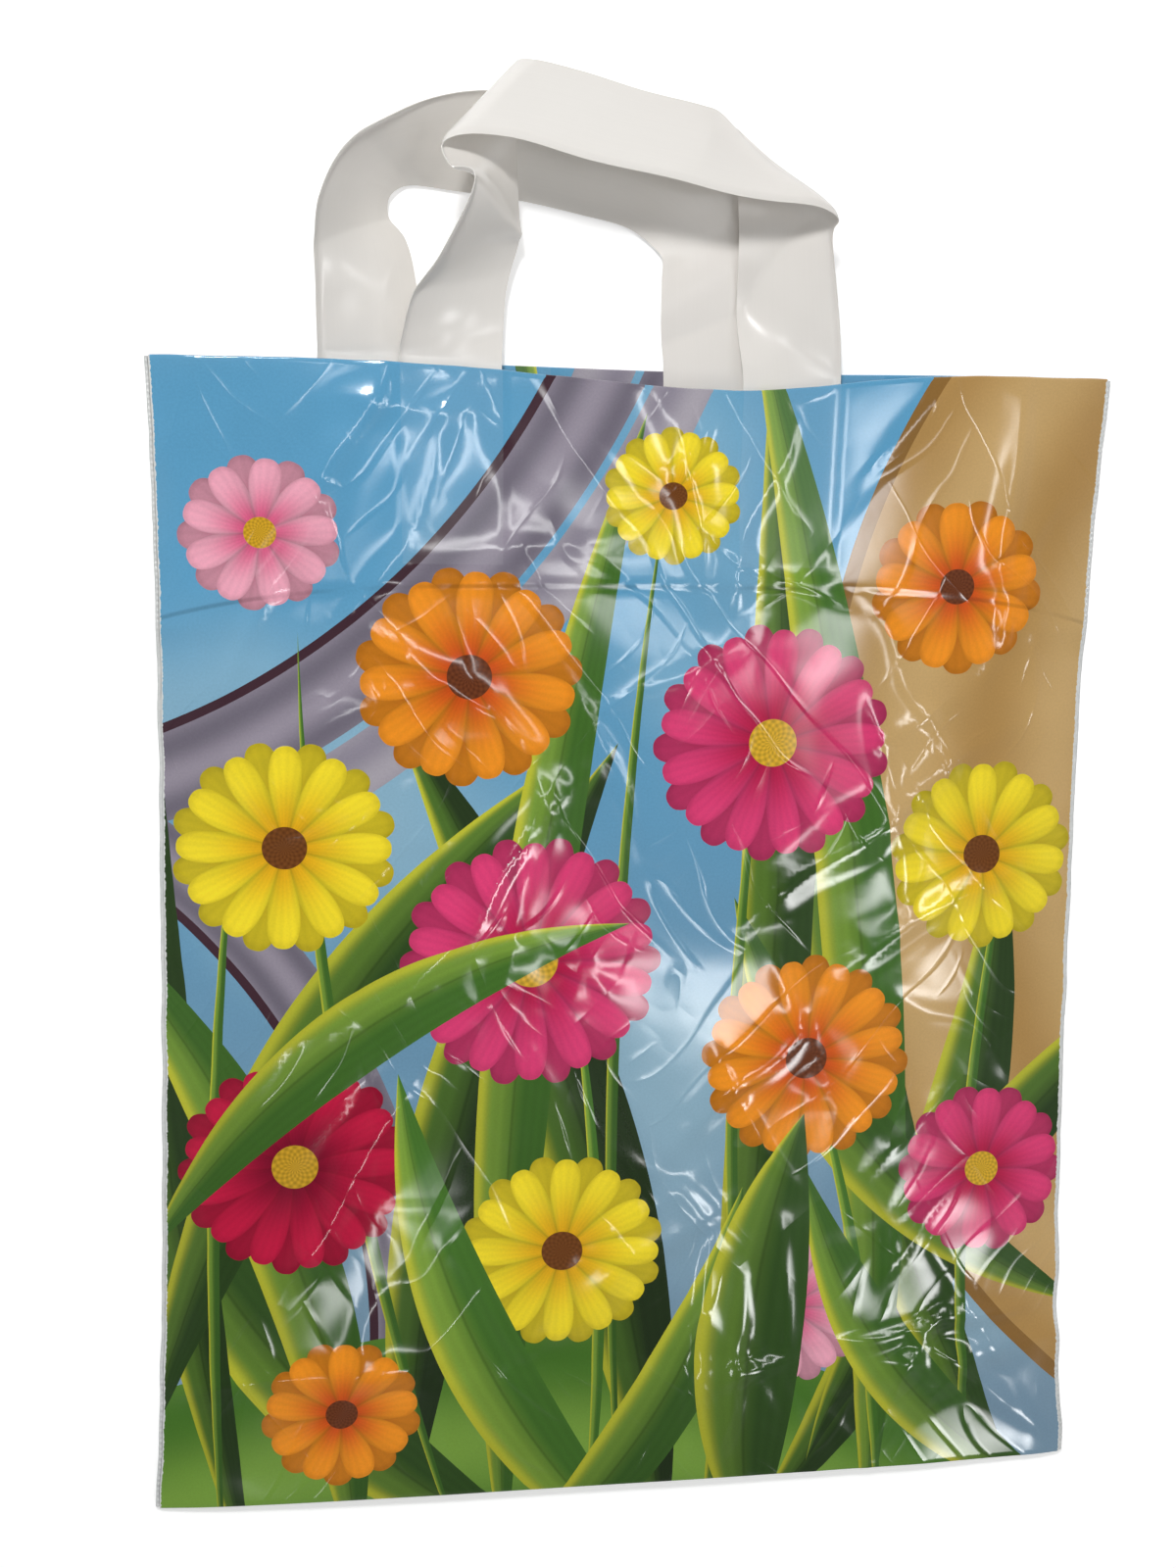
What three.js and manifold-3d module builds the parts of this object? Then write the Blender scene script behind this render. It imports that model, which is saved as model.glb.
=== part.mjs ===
// A plastic carrier bag with two soft loop handles, lying flat on its back panel.
// Millimetres. X runs across the bag, +Y points from the bag's foot to its handles, +Z is up.
import * as THREE from "three";
import Module from "manifold-3d";

// The bag's film, laid flat.
const bagWidth = 380;
const bagHeight = 450;
const gussetDepth = 50;
const hemDepth = 98;
const sideWeldWidth = 3;

// The film is drawn thicker than the real one, so that each layer is a solid wall.
const filmWall = 0.5;
const foldGap = 0.35;

// How the bag lies: the front panel stands clear of the back one, and its edges are not quite straight.
const loftAtMouth = 10;
const loftAtFoot = 7;
const crownPower = 4;
const mouthSag = 8.3;
const backMouthSag = 1.5;
const mouthSagPlace = 35;
const mouthSagLeft = 90;
const mouthSagRight = 60;
const hemBow = 14;
const layerRun = 14;
const creaseRise = 2;
const creaseSpread = 10;
const hemStep = 0.6;
const gussetStep = 0.9;
const leftSideBow = 4;
const rightSideBow = 7;

// The handles: strips of thicker film whose ends are welded inside the hems.
const handleWidth = 39;
const handleWall = 0.6;
const legSpacing = 133;
const handleRise = 110;
const handleLift = 45;
const weldedLength = 76;
const legRun = 4;
const frontHandlePlace = -10;
const backHandlePlace = -40;
const handleClearance = 0.3;

// How finely the solids are divided.
const columns = 26;
const hemRows = 5;
const panelRows = 17;
const gussetRows = 3;
const stepRun = 3;
const handleStepsPerStation = 3;
const handleStepsAcross = 3;

const layerPitch = filmWall + foldGap;
const halfWidth = bagWidth / 2;
const mouthY = bagHeight / 2;
const footY = -bagHeight / 2;
const gussetY = footY + gussetDepth;
const backLevel = filmWall / 2;

// The broad creases of the front panel, each a soft ridge from one point to another. Places are shares of
// the bag's half width and half height, and rise and spread are shares of the largest crease's.
const creases = [
  { from: [-0.53, 0.99], to: [-0.87, 0.60], rise: 0.90, spread: 0.90 },
  { from: [0.02, 0.96], to: [0.20, 0.63], rise: 0.80, spread: 0.80 },
  { from: [0.79, 0.97], to: [0.77, 0.67], rise: 0.70, spread: 0.80 },
  { from: [-0.79, 0.27], to: [-0.37, 0.42], rise: 0.75, spread: 1.00 },
  { from: [-0.41, 0.02], to: [-0.21, 0.27], rise: 0.90, spread: 0.90 },
  { from: [0.32, 0.09], to: [0.68, 0.31], rise: 1.00, spread: 1.00 },
  { from: [0.51, 0.00], to: [0.79, 0.11], rise: 0.85, spread: 0.90 },
  { from: [0.13, -0.31], to: [0.33, -0.18], rise: 0.80, spread: 0.90 },
  { from: [-0.68, -0.53], to: [-0.51, -0.27], rise: 0.75, spread: 1.00 },
  { from: [-0.16, -0.67], to: [0.11, -0.49], rise: 0.70, spread: 1.00 },
  { from: [0.18, -0.93], to: [0.20, -0.58], rise: 0.80, spread: 0.90 },
  { from: [0.48, -0.83], to: [0.88, -0.78], rise: 1.00, spread: 0.80 },
  { from: [0.55, -0.94], to: [0.73, -0.84], rise: 0.80, spread: 0.80 },
  { from: [-0.93, -0.78], to: [-0.47, -0.76], rise: 0.65, spread: 0.80 },
];

const lerp = THREE.MathUtils.lerp;
const smoothstep = THREE.MathUtils.smoothstep;

// The height that one crease adds at a point: a rounded ridge that fades out towards both its ends.
function creaseHeight(crease, x, y) {
  const [x0, y0] = [crease.from[0] * halfWidth, crease.from[1] * mouthY];
  const [x1, y1] = [crease.to[0] * halfWidth, crease.to[1] * mouthY];
  const spread = crease.spread * creaseSpread;
  const length = Math.hypot(x1 - x0, y1 - y0);
  const along = ((x - x0) * (x1 - x0) + (y - y0) * (y1 - y0)) / length;
  const away = ((x - x0) * (y1 - y0) - (y - y0) * (x1 - x0)) / length;
  const past = Math.max(0, -along, along - length);
  return crease.rise * creaseRise * Math.exp(-(away * away + past * past) / (spread * spread));
}

// The share of its full height that the front panel has at a distance from the bag's middle.
function crownAt(x) {
  return 1 - Math.pow(Math.min(1, Math.abs(x) / halfWidth), crownPower);
}

// The mouth's edge sags to one side of the middle, the front one more than the back one.
function mouthEdge(x, sag) {
  const reach = x < mouthSagPlace ? mouthSagLeft : mouthSagRight;
  const share = (x - mouthSagPlace) / reach;
  return mouthY - sag * Math.exp(-share * share) * crownAt(x);
}

// The free edge of the turned-in hem bows up towards the mouth in the middle.
function hemEdge(x) {
  return mouthY - hemDepth + hemBow * crownAt(x);
}

// The level of the front film at the side weld, where it lies on every layer under it.
function sideLevel(y) {
  const overHem = smoothstep(y, mouthY - hemDepth - layerRun, mouthY - hemDepth);
  const overGusset = 1 - smoothstep(y, gussetY, gussetY + layerRun);
  return backLevel + layerPitch * (1 + 2 * Math.max(overHem, overGusset));
}

// The middle of the front film's wall, as it would lie without creases.
function smoothLevel(x, y) {
  const loft = lerp(loftAtFoot, loftAtMouth, smoothstep(y, footY, footY + 2 * gussetDepth));
  const overHem = hemStep * smoothstep(y, hemEdge(x) - stepRun, hemEdge(x) + stepRun);
  const overGusset = gussetStep * (1 - smoothstep(y, gussetY - stepRun, gussetY + stepRun));
  return lerp(sideLevel(y), loft - filmWall / 2 + overHem + overGusset, crownAt(x));
}

// The middle of the front film's wall, creases and all.
function frontLevel(x, y) {
  const ridges = creases.reduce((sum, crease) => sum + creaseHeight(crease, x, y), 0);
  return smoothLevel(x, y) + ridges * crownAt(x);
}

// The bag's sides draw in a little between its foot and its mouth.
function placeAcross(x, y) {
  const bow = x < 0 ? leftSideBow : rightSideBow;
  return x - (x / halfWidth) * bow * (1 - Math.pow(Math.abs(y) / mouthY, 3));
}

// Adds the points of a half turn of film, from one level to the next, round a fold whose crest is at y.
function addFold(section, y, away, from, to) {
  const radius = Math.abs(to - from) / 2;
  for (let k = 0; k <= 4; k++) {
    const angle = (Math.PI * k) / 4;
    const height = lerp(from, to, (1 - Math.cos(angle)) / 2);
    section.push([y - away * radius * (1 - Math.sin(angle)), height]);
  }
}

// The one film as it is folded, seen from the side at one place across the bag: the front hem, the front
// panel, the gusset's two leaves, the back panel and the back hem.
function sectionAt(x) {
  const section = [];
  const mouth = mouthEdge(x, mouthSag);
  const backMouth = mouthEdge(x, backMouthSag);
  const hem = hemEdge(x);
  const fold = layerPitch / 2;
  const addFront = (from, to, rows, drop) => {
    for (let k = 0; k < rows; k++) {
      const y = lerp(from, to, k / rows);
      section.push([y, frontLevel(x, y) - drop]);
    }
  };
  addFront(hem, mouth - fold, hemRows, layerPitch);
  const atMouth = frontLevel(x, mouth - fold);
  addFold(section, mouth, 1, atMouth - layerPitch, atMouth);
  addFront(mouth - 2 * stepRun, hem + stepRun, hemRows, 0);
  addFront(hem + stepRun, hem - stepRun, 1, 0);
  addFront(hem - stepRun, gussetY + stepRun, panelRows, 0);
  addFront(gussetY + stepRun, gussetY - stepRun, 1, 0);
  addFront(gussetY - stepRun, footY + fold, gussetRows, 0);
  const atFoot = frontLevel(x, footY + fold);
  addFold(section, footY, -1, atFoot, atFoot - layerPitch);
  const apex = (frontLevel(x, gussetY) + backLevel) / 2;
  section.push([lerp(footY, gussetY, 0.5), lerp(atFoot - layerPitch, apex + fold, 0.5)]);
  addFold(section, gussetY, 1, apex + fold, apex - fold);
  section.push([lerp(footY, gussetY, 0.5), lerp(apex - fold, backLevel + layerPitch, 0.5)]);
  addFold(section, footY, -1, backLevel + layerPitch, backLevel);
  for (const share of [0.25, 0.5, 0.75]) section.push([lerp(footY, backMouth, share), backLevel]);
  addFold(section, backMouth, 1, backLevel, backLevel + layerPitch);
  section.push([lerp(backMouth, hem, 0.5), backLevel + layerPitch]);
  section.push([hem, backLevel + layerPitch]);
  return section;
}

// A closed solid of even thickness round a grid of points, given as rows of equal length.
function filmSolid(grid, thickness) {
  const rows = grid.length;
  const steps = grid[0].length;
  const count = rows * steps;
  const at = (i, j) => grid[Math.min(rows - 1, Math.max(0, i))][Math.min(steps - 1, Math.max(0, j))];
  const positions = new Float32Array(count * 6);
  for (let i = 0; i < rows; i++) {
    for (let j = 0; j < steps; j++) {
      const alongRows = at(i + 1, j).clone().sub(at(i - 1, j));
      const alongSteps = at(i, j + 1).clone().sub(at(i, j - 1));
      const offset = alongRows.cross(alongSteps).setLength(thickness / 2);
      const place = i * steps + j;
      at(i, j).clone().add(offset).toArray(positions, place * 3);
      at(i, j).clone().sub(offset).toArray(positions, (count + place) * 3);
    }
  }
  const index = [];
  const quad = (a, b, c, d) => index.push(a, b, c, a, c, d);
  for (let i = 0; i < rows - 1; i++) {
    for (let j = 0; j < steps - 1; j++) {
      const a = i * steps + j;
      quad(a, a + steps, a + steps + 1, a + 1);
      quad(count + a, count + a + 1, count + a + steps + 1, count + a + steps);
    }
  }
  const rim = [];
  for (let j = 0; j < steps - 1; j++) rim.push(j);
  for (let i = 0; i < rows - 1; i++) rim.push(i * steps + steps - 1);
  for (let j = steps - 1; j > 0; j--) rim.push((rows - 1) * steps + j);
  for (let i = rows - 1; i > 0; i--) rim.push(i * steps);
  rim.forEach((a, k) => {
    const b = rim[(k + 1) % rim.length];
    quad(a, b, count + b, count + a);
  });
  const geometry = new THREE.BufferGeometry();
  geometry.setAttribute("position", new THREE.BufferAttribute(positions, 3));
  geometry.setIndex(index);
  return geometry;
}

// The heat weld down one side of the bag, which joins every layer that meets it.
function sideWeld(side) {
  const steps = 40;
  const grid = [];
  for (const inward of [sideWeldWidth, 0]) {
    const row = [];
    for (let k = 0; k <= steps; k++) {
      const y = lerp(footY + filmWall, mouthY - filmWall, k / steps);
      const x = side * (halfWidth - inward);
      row.push(new THREE.Vector3(placeAcross(x, y), y, sideLevel(y)));
    }
    grid.push(row);
  }
  return weldBar(side > 0 ? grid : grid.reverse());
}

// A bar under a strip of points, from just above the floor to just under the top layer's face.
function weldBar(grid) {
  const [first, second] = grid;
  const steps = first.length;
  const positions = [];
  for (const row of [first, second]) for (const p of row) positions.push(p.x, p.y, p.z + filmWall / 4);
  for (const row of [first, second]) for (const p of row) positions.push(p.x, p.y, filmWall / 4);
  const index = [];
  const quad = (a, b, c, d) => index.push(a, b, c, a, c, d);
  for (let k = 0; k < steps - 1; k++) {
    quad(k, steps + k, steps + k + 1, k + 1);
    quad(2 * steps + k, 2 * steps + k + 1, 3 * steps + k + 1, 3 * steps + k);
    quad(k, k + 1, 2 * steps + k + 1, 2 * steps + k);
    quad(steps + k + 1, steps + k, 3 * steps + k, 3 * steps + k + 1);
  }
  quad(0, 2 * steps, 3 * steps, steps);
  quad(steps - 1, 2 * steps - 1, 4 * steps - 1, 3 * steps - 1);
  const geometry = new THREE.BufferGeometry();
  geometry.setAttribute("position", new THREE.BufferAttribute(new Float32Array(positions), 3));
  geometry.setIndex(index);
  return geometry;
}

// The whole bag: the folded film, joined to its two side welds.
function bagGeometry() {
  const grid = [];
  const reach = halfWidth - sideWeldWidth / 2;
  for (let i = 0; i <= columns; i++) {
    const x = lerp(-reach, reach, i / columns);
    grid.push(sectionAt(x).map(([y, z]) => new THREE.Vector3(placeAcross(x, y), y, z)));
  }
  return join([filmSolid(grid, filmWall), sideWeld(-1), sideWeld(1)]);
}

// The stations of the front handle between its two legs' mouth ends, from left to right. Each gives the
// strip's middle, as shares of half the leg spacing, of the handle's rise past the mouth and of its height
// off the floor. Then come the direction from its inner to its outer edge, as a turn in plan and a lean
// upwards in degrees, and how slantwise the station crosses the strip.
const frontRoute = [
  { across: -0.99, up: 0.10, high: 0.22, turn: 180, lean: 8, reach: 1 },
  { across: -0.96, up: 0.22, high: 0.33, turn: 183, lean: 20, reach: 1 },
  { across: -0.86, up: 0.38, high: 0.47, turn: 191, lean: 33, reach: 1 },
  { across: -0.80, up: 0.51, high: 0.64, turn: 143, lean: 50, reach: 1.05 },
  { across: -0.86, up: 0.66, high: 0.64, turn: 206, lean: 42, reach: 1.06 },
  { across: -0.89, up: 0.83, high: 0.62, turn: 228, lean: 30, reach: 1.36 },
  { across: -0.82, up: 0.85, high: 0.72, turn: 225, lean: 29, reach: 1.3 },
  { across: -0.54, up: 0.84, high: 0.72, turn: 222, lean: 31, reach: 1.24 },
  { across: -0.11, up: 0.78, high: 0.70, turn: 231, lean: 33, reach: 1.13 },
  { across: 0.27, up: 0.74, high: 0.68, turn: 240, lean: 34, reach: 1.04 },
  { across: 0.51, up: 0.71, high: 0.64, turn: 273, lean: 34, reach: 1 },
  { across: 0.83, up: 0.65, high: 0.60, turn: 314, lean: 22, reach: 1 },
  { across: 0.87, up: 0.65, high: 0.52, turn: 316, lean: 16, reach: 1.34 },
  { across: 0.87, up: 0.61, high: 0.42, turn: 317, lean: 14, reach: 1.28 },
  { across: 0.91, up: 0.45, high: 0.37, turn: 338, lean: 12, reach: 1 },
  { across: 0.96, up: 0.18, high: 0.23, turn: 0, lean: 8, reach: 1 },
];

// The stations of the back handle. It lies lower, and its arch passes under the front one's.
const backRoute = [
  { across: -1.02, up: 0.22, high: 0.12, turn: 182, lean: 8, reach: 1 },
  { across: -1.06, up: 0.40, high: 0.24, turn: 184, lean: 26, reach: 1 },
  { across: -1.10, up: 0.51, high: 0.36, turn: 174, lean: 43, reach: 1 },
  { across: -1.04, up: 0.61, high: 0.41, turn: 151, lean: 52, reach: 1 },
  { across: -0.86, up: 0.68, high: 0.38, turn: 123, lean: 52, reach: 1 },
  { across: -0.58, up: 0.72, high: 0.27, turn: 106, lean: 34, reach: 1 },
  { across: -0.23, up: 0.73, high: 0.16, turn: 94, lean: 14, reach: 1 },
  { across: 0.20, up: 0.69, high: 0.12, turn: 88, lean: 11, reach: 1 },
  { across: 0.57, up: 0.64, high: 0.11, turn: 74, lean: 10, reach: 1 },
  { across: 0.81, up: 0.55, high: 0.11, turn: 54, lean: 9, reach: 1 },
  { across: 0.93, up: 0.47, high: 0.10, turn: 32, lean: 7, reach: 1 },
  { across: 0.97, up: 0.33, high: 0.08, turn: 12, lean: 4, reach: 1 },
  { across: 0.98, up: 0.16, high: 0.06, turn: 2, lean: 1, reach: 1 },
];

// The two edges of the strip at one station of a route.
function stationEdges(station, place) {
  const turn = THREE.MathUtils.degToRad(station.turn);
  const lean = THREE.MathUtils.degToRad(station.lean);
  const outward = new THREE.Vector3(Math.cos(turn) * Math.cos(lean), Math.sin(turn) * Math.cos(lean), Math.sin(lean));
  outward.multiplyScalar((handleWidth / 2) * station.reach);
  const x = place + (station.across * legSpacing) / 2;
  const middle = new THREE.Vector3(x, mouthY + station.up * handleRise, station.high * handleLift);
  return [middle.clone().add(outward), middle.clone().sub(outward)];
}

// The welded end of one leg, from its cut end to just past the mouth, at a given level inside the bag.
function legEdges(place, side, sag, level) {
  const middle = place + (side * legSpacing) / 2;
  const outer = middle + (side * handleWidth) / 2;
  const inner = middle - (side * handleWidth) / 2;
  return [-weldedLength, -weldedLength / 2, 0, legRun].map((past) =>
    [outer, inner].map((x) => {
      const mouth = mouthEdge(x, sag);
      return new THREE.Vector3(x, mouth + past, level(x, mouth + Math.min(past, 0)));
    }),
  );
}

// A handle's strip: both its edges as smooth curves through the stations, and the film between them.
function handleGeometry(place, route, sag, level) {
  const stations = [
    ...legEdges(place, -1, sag, level),
    ...route.map((station) => stationEdges(station, place)),
    ...legEdges(place, 1, sag, level).reverse(),
  ];
  const edges = [0, 1].map((k) => new THREE.CatmullRomCurve3(stations.map((pair) => pair[k])));
  const steps = (stations.length - 1) * handleStepsPerStation;
  const grid = [];
  for (let i = 0; i <= steps; i++) {
    const outer = edges[0].getPoint(i / steps);
    const inner = edges[1].getPoint(i / steps);
    const row = [];
    for (let j = 0; j <= handleStepsAcross; j++) row.push(outer.clone().lerp(inner, j / handleStepsAcross));
    grid.push(row);
  }
  return join([filmSolid(grid, handleWall)]);
}

// Joins closed geometries into one, faces outward whichever way round each was drawn.
function join(geometries) {
  const whole = geometries.map(manifoldOf).reduce((sum, solid) => sum.add(solid));
  const mesh = whole.getMesh();
  const geometry = new THREE.BufferGeometry();
  geometry.setAttribute("position", new THREE.BufferAttribute(mesh.vertProperties, 3));
  geometry.setIndex(new THREE.BufferAttribute(mesh.triVerts, 1));
  geometry.computeVertexNormals();
  return geometry;
}

// One closed geometry as a solid for the joins.
function manifoldOf(geometry) {
  const vertProperties = geometry.attributes.position.array;
  const triVerts = Uint32Array.from(geometry.index.array);
  if (signedVolume(vertProperties, triVerts) < 0) triVerts.reverse();
  return new wasm.Manifold(new wasm.Mesh({ numProp: 3, vertProperties, triVerts }));
}

// A closed mesh's volume, below zero when its faces point inwards.
function signedVolume(positions, triangles) {
  const [a, b, c] = [new THREE.Vector3(), new THREE.Vector3(), new THREE.Vector3()];
  let volume = 0;
  for (let k = 0; k < triangles.length; k += 3) {
    a.fromArray(positions, triangles[k] * 3);
    b.fromArray(positions, triangles[k + 1] * 3);
    c.fromArray(positions, triangles[k + 2] * 3);
    volume += a.dot(b.cross(c)) / 6;
  }
  return volume;
}

// The front handle's welded ends lie under the front hem, and the back handle's on the back hem.
const hemToHandle = layerPitch + filmWall / 2 + handleClearance + handleWall / 2;
const underFrontHem = (x, y) => smoothLevel(x, y) - hemToHandle;
const onBackHem = () => backLevel + hemToHandle;

const printedFilm = new THREE.MeshStandardMaterial({ color: 0x6f9fb4, roughness: 0.22, metalness: 0 });
const handleFilm = new THREE.MeshStandardMaterial({ color: 0xe9e6df, roughness: 0.35, metalness: 0 });

function piece(name, geometry, material) {
  const mesh = new THREE.Mesh(geometry, material);
  mesh.name = name;
  return mesh;
}

const wasm = await Module();
wasm.setup();

const bag = new THREE.Group();
bag.add(piece("bag_body", bagGeometry(), printedFilm));
const frontHandle = handleGeometry(frontHandlePlace, frontRoute, mouthSag, underFrontHem);
const backHandle = handleGeometry(backHandlePlace, backRoute, backMouthSag, onBackHem);
bag.add(piece("front_handle", frontHandle, handleFilm));
bag.add(piece("back_handle", backHandle, handleFilm));

// The origin is the middle of the whole outline, on the floor.
const outline = new THREE.Box3().setFromObject(bag);
const middle = outline.getCenter(new THREE.Vector3());
bag.position.set(-middle.x, -middle.y, -outline.min.z);

export default bag;
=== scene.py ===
# A plastic carrier bag with two soft loop handles, lying flat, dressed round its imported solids.
# Lengths are metres. X runs across the bag, +Y from its foot to its handles, +Z is up.
import math

import bpy
import numpy as np
from mathutils import Matrix, Vector


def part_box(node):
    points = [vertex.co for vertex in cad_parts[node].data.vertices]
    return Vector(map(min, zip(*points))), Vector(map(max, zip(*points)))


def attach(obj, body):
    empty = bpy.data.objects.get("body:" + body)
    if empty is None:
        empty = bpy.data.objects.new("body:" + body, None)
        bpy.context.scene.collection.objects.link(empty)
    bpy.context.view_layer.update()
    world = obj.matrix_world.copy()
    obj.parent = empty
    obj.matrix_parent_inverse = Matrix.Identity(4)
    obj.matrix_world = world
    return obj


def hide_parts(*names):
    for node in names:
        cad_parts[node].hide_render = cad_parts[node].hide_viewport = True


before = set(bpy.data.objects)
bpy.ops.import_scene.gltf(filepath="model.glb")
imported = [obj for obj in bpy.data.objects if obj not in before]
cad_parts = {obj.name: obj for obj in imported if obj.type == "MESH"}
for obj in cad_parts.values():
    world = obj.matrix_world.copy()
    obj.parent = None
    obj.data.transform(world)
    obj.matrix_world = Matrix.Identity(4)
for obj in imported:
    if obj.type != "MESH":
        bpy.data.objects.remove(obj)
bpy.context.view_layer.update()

# The view.
# The camera stands above the bag's upper left, nearly square to the front panel, as the photograph was
# taken. The bag's own places are measured from the middle of its laid-flat film, bag_middle.
MM = 0.001
bag_height = 450 * MM
body_low, body_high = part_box("bag_body")
bag_middle = Vector(((body_low.x + body_high.x) / 2, body_low.y + bag_height / 2, 0))
camera_place = bag_middle + Vector((-172.6, 173.9, 849.4)) * MM
camera_back = Vector((-0.1755, 0.1276, 0.9762)).normalized()
camera_up = camera_back.cross(Vector((0.9844, 0.0152, 0.1750)).normalized())
camera_right = camera_up.cross(camera_back)
photo_height_px = 1600
focal_px = 2250
camera_data = bpy.data.cameras.new("camera")
camera_data.sensor_fit = "VERTICAL"
camera_data.sensor_height = 36
camera_data.lens = focal_px / photo_height_px * camera_data.sensor_height
camera = bpy.data.objects.new("camera", camera_data)
bpy.context.scene.collection.objects.link(camera)
camera_turn = Matrix((camera_right, camera_up, camera_back)).transposed()
camera.matrix_world = Matrix.Translation(camera_place) @ camera_turn.to_4x4()
bpy.context.scene.camera = camera
bpy.context.scene.view_settings.view_transform = "Standard"

# The bag's film.
# The real piece is one sheet of printed polyethylene about 0.055 mm thick, white inside. It is folded
# at the foot into a gusset and turned in at the mouth as a hem. Here it is drawn 0.3 mm thick.
bag_width = 380 * MM
gusset_depth = 50 * MM
hem_depth = 98 * MM
weld_width = 3 * MM
film_wall = 0.3 * MM
layer_pitch = 0.85 * MM
back_level = 0.25 * MM
loft_at_mouth = 9.75 * MM
loft_at_foot = 6.75 * MM
mouth_sag = 8.3 * MM
back_mouth_sag = 1.5 * MM
sag_middle = 35 * MM
sag_reach_left = 90 * MM
sag_reach_right = 60 * MM
hem_bow = 14 * MM
hem_step = 0.6 * MM
hem_step_reach = 3 * MM
gusset_step = 0.8 * MM
gusset_step_reach = 5 * MM
side_step_run = 14 * MM
side_bow_left = 4 * MM
side_bow_right = 7 * MM
sharp_edge = math.radians(55)
# The handles' strips, because the front one's two welded ends show through the film.
handle_width = 39 * MM
leg_spacing = 133 * MM
welded_length = 76 * MM
front_handle_x = -10 * MM
handle_ends_x = (front_handle_x - leg_spacing / 2, front_handle_x + leg_spacing / 2)
# Where the film's edges and folds lie, from the middle of the laid-flat film.
half_width = bag_width / 2
mouth_y = bag_height / 2
foot_y = -mouth_y
gusset_y = foot_y + gusset_depth


def smoothstep(value, low, high):
    """A smooth change from 0 to 1, while the value goes from low to high."""
    share = np.clip((value - low) / (high - low), 0, 1)
    return share * share * (3 - 2 * share)


def crown(x):
    """The share of its full height that the front panel has at a distance from the bag's middle."""
    return 1 - np.minimum(1, np.abs(x) / half_width) ** 4


def mouth_edge(x, sag):
    """How far up the bag a panel's mouth lies. It sags between the sides."""
    reach = np.where(x < sag_middle, sag_reach_left, sag_reach_right)
    return mouth_y - sag * np.exp(-(((x - sag_middle) / reach) ** 2)) * crown(x)


def hem_edge(x):
    """How far up the bag the hem's inner edge lies. It bows upwards between the sides."""
    return mouth_y - hem_depth + hem_bow * crown(x)


def side_level(y):
    """The middle of the front film's wall at the side welds, where it rises over the layers beneath."""
    over_hem = smoothstep(y, mouth_y - hem_depth - side_step_run, mouth_y - hem_depth)
    over_gusset = 1 - smoothstep(y, gusset_y, gusset_y + side_step_run)
    return back_level + layer_pitch * (1 + 2 * np.maximum(over_hem, over_gusset))


def smooth_level(x, y):
    """The middle of the front film's wall, as it would lie without creases."""
    loft = loft_at_foot + (loft_at_mouth - loft_at_foot) * smoothstep(y, foot_y, foot_y + 2 * gusset_depth)
    over_hem = hem_step * smoothstep(y, hem_edge(x) - hem_step_reach, hem_edge(x) + hem_step_reach)
    past_gusset = smoothstep(y, gusset_y - gusset_step_reach, gusset_y + gusset_step_reach)
    over_gusset = gusset_step * (1 - past_gusset)
    side = side_level(y)
    return side + (loft + over_hem + over_gusset - side) * crown(x)


def from_line(x, y, start, end):
    """How far along a line from start to end each point lies, as a share, and how far to its side."""
    run_x, run_y = end[0] - start[0], end[1] - start[1]
    length = math.hypot(run_x, run_y)
    along = ((x - start[0]) * run_x + (y - start[1]) * run_y) / length / length
    away = ((x - start[0]) * run_y - (y - start[1]) * run_x) / length
    return along, away, length


def soft_ridge(x, y, start, end, rise, spread):
    """A broad crease with a round crest."""
    along, away, length = from_line(x, y, start, end)
    past = length * np.maximum(0, np.maximum(-along, along - 1))
    return rise * np.exp(-(away * away + past * past) / (spread * spread))


def sharp_ridge(x, y, start, end, rise, slope_width):
    """A crease with a keen crest and a nearly flat slope to each side, which dies out at both ends."""
    along, away, length = from_line(x, y, start, end)
    fade = np.sqrt(np.sin(np.pi * np.clip(along, 0, 1)))
    crest_width = 0.9 * MM
    reach = slope_width * (0.35 + 0.65 * fade)
    return 1.25 * rise * fade * np.clip(1 - np.hypot(away, crest_width) / reach, 0, 1) ** 1.9


def pinch(x, y, middle, rise, reach, seed):
    """Short creases that run out from one pinched point, like a crow's foot."""
    draw = np.random.RandomState(seed)
    away = np.hypot(x - middle[0], y - middle[1]) / reach
    angle = np.arctan2(y - middle[1], x - middle[0])
    arms = draw.randint(4, 7)
    first = draw.uniform(0, 2 * math.pi)
    height = 0
    for arm in range(arms):
        toward = first + (arm + draw.uniform(-0.25, 0.25)) * 2 * math.pi / arms
        swing = (angle - toward + math.pi) % (2 * math.pi) - math.pi
        height = height + draw.uniform(0.4, 1) * np.exp(-((swing / draw.uniform(0.18, 0.4)) ** 2))
    return rise * height * away * np.exp(1 - away)


def hills(x, y, cell, seed):
    """Smooth noise of about -1 to 1, whose hills are about one cell wide."""
    draw = np.random.RandomState(seed)
    size = 64
    angle = draw.uniform(0, 2 * math.pi, (size, size))
    lean_x, lean_y = np.cos(angle), np.sin(angle)
    u, v = x / cell + 31.7, y / cell + 17.3
    low_u, low_v = np.floor(u).astype(int), np.floor(v).astype(int)
    share_u, share_v = u - low_u, v - low_v

    def corner(step_u, step_v):
        a, b = (low_u + step_u) % size, (low_v + step_v) % size
        return lean_x[a, b] * (share_u - step_u) + lean_y[a, b] * (share_v - step_v)

    ease_u, ease_v = smoothstep(share_u, 0, 1), smoothstep(share_v, 0, 1)
    low = corner(0, 0) * (1 - ease_u) + corner(1, 0) * ease_u
    high = corner(0, 1) * (1 - ease_u) + corner(1, 1) * ease_u
    return (low * (1 - ease_v) + high * ease_v) * 1.5


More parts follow.
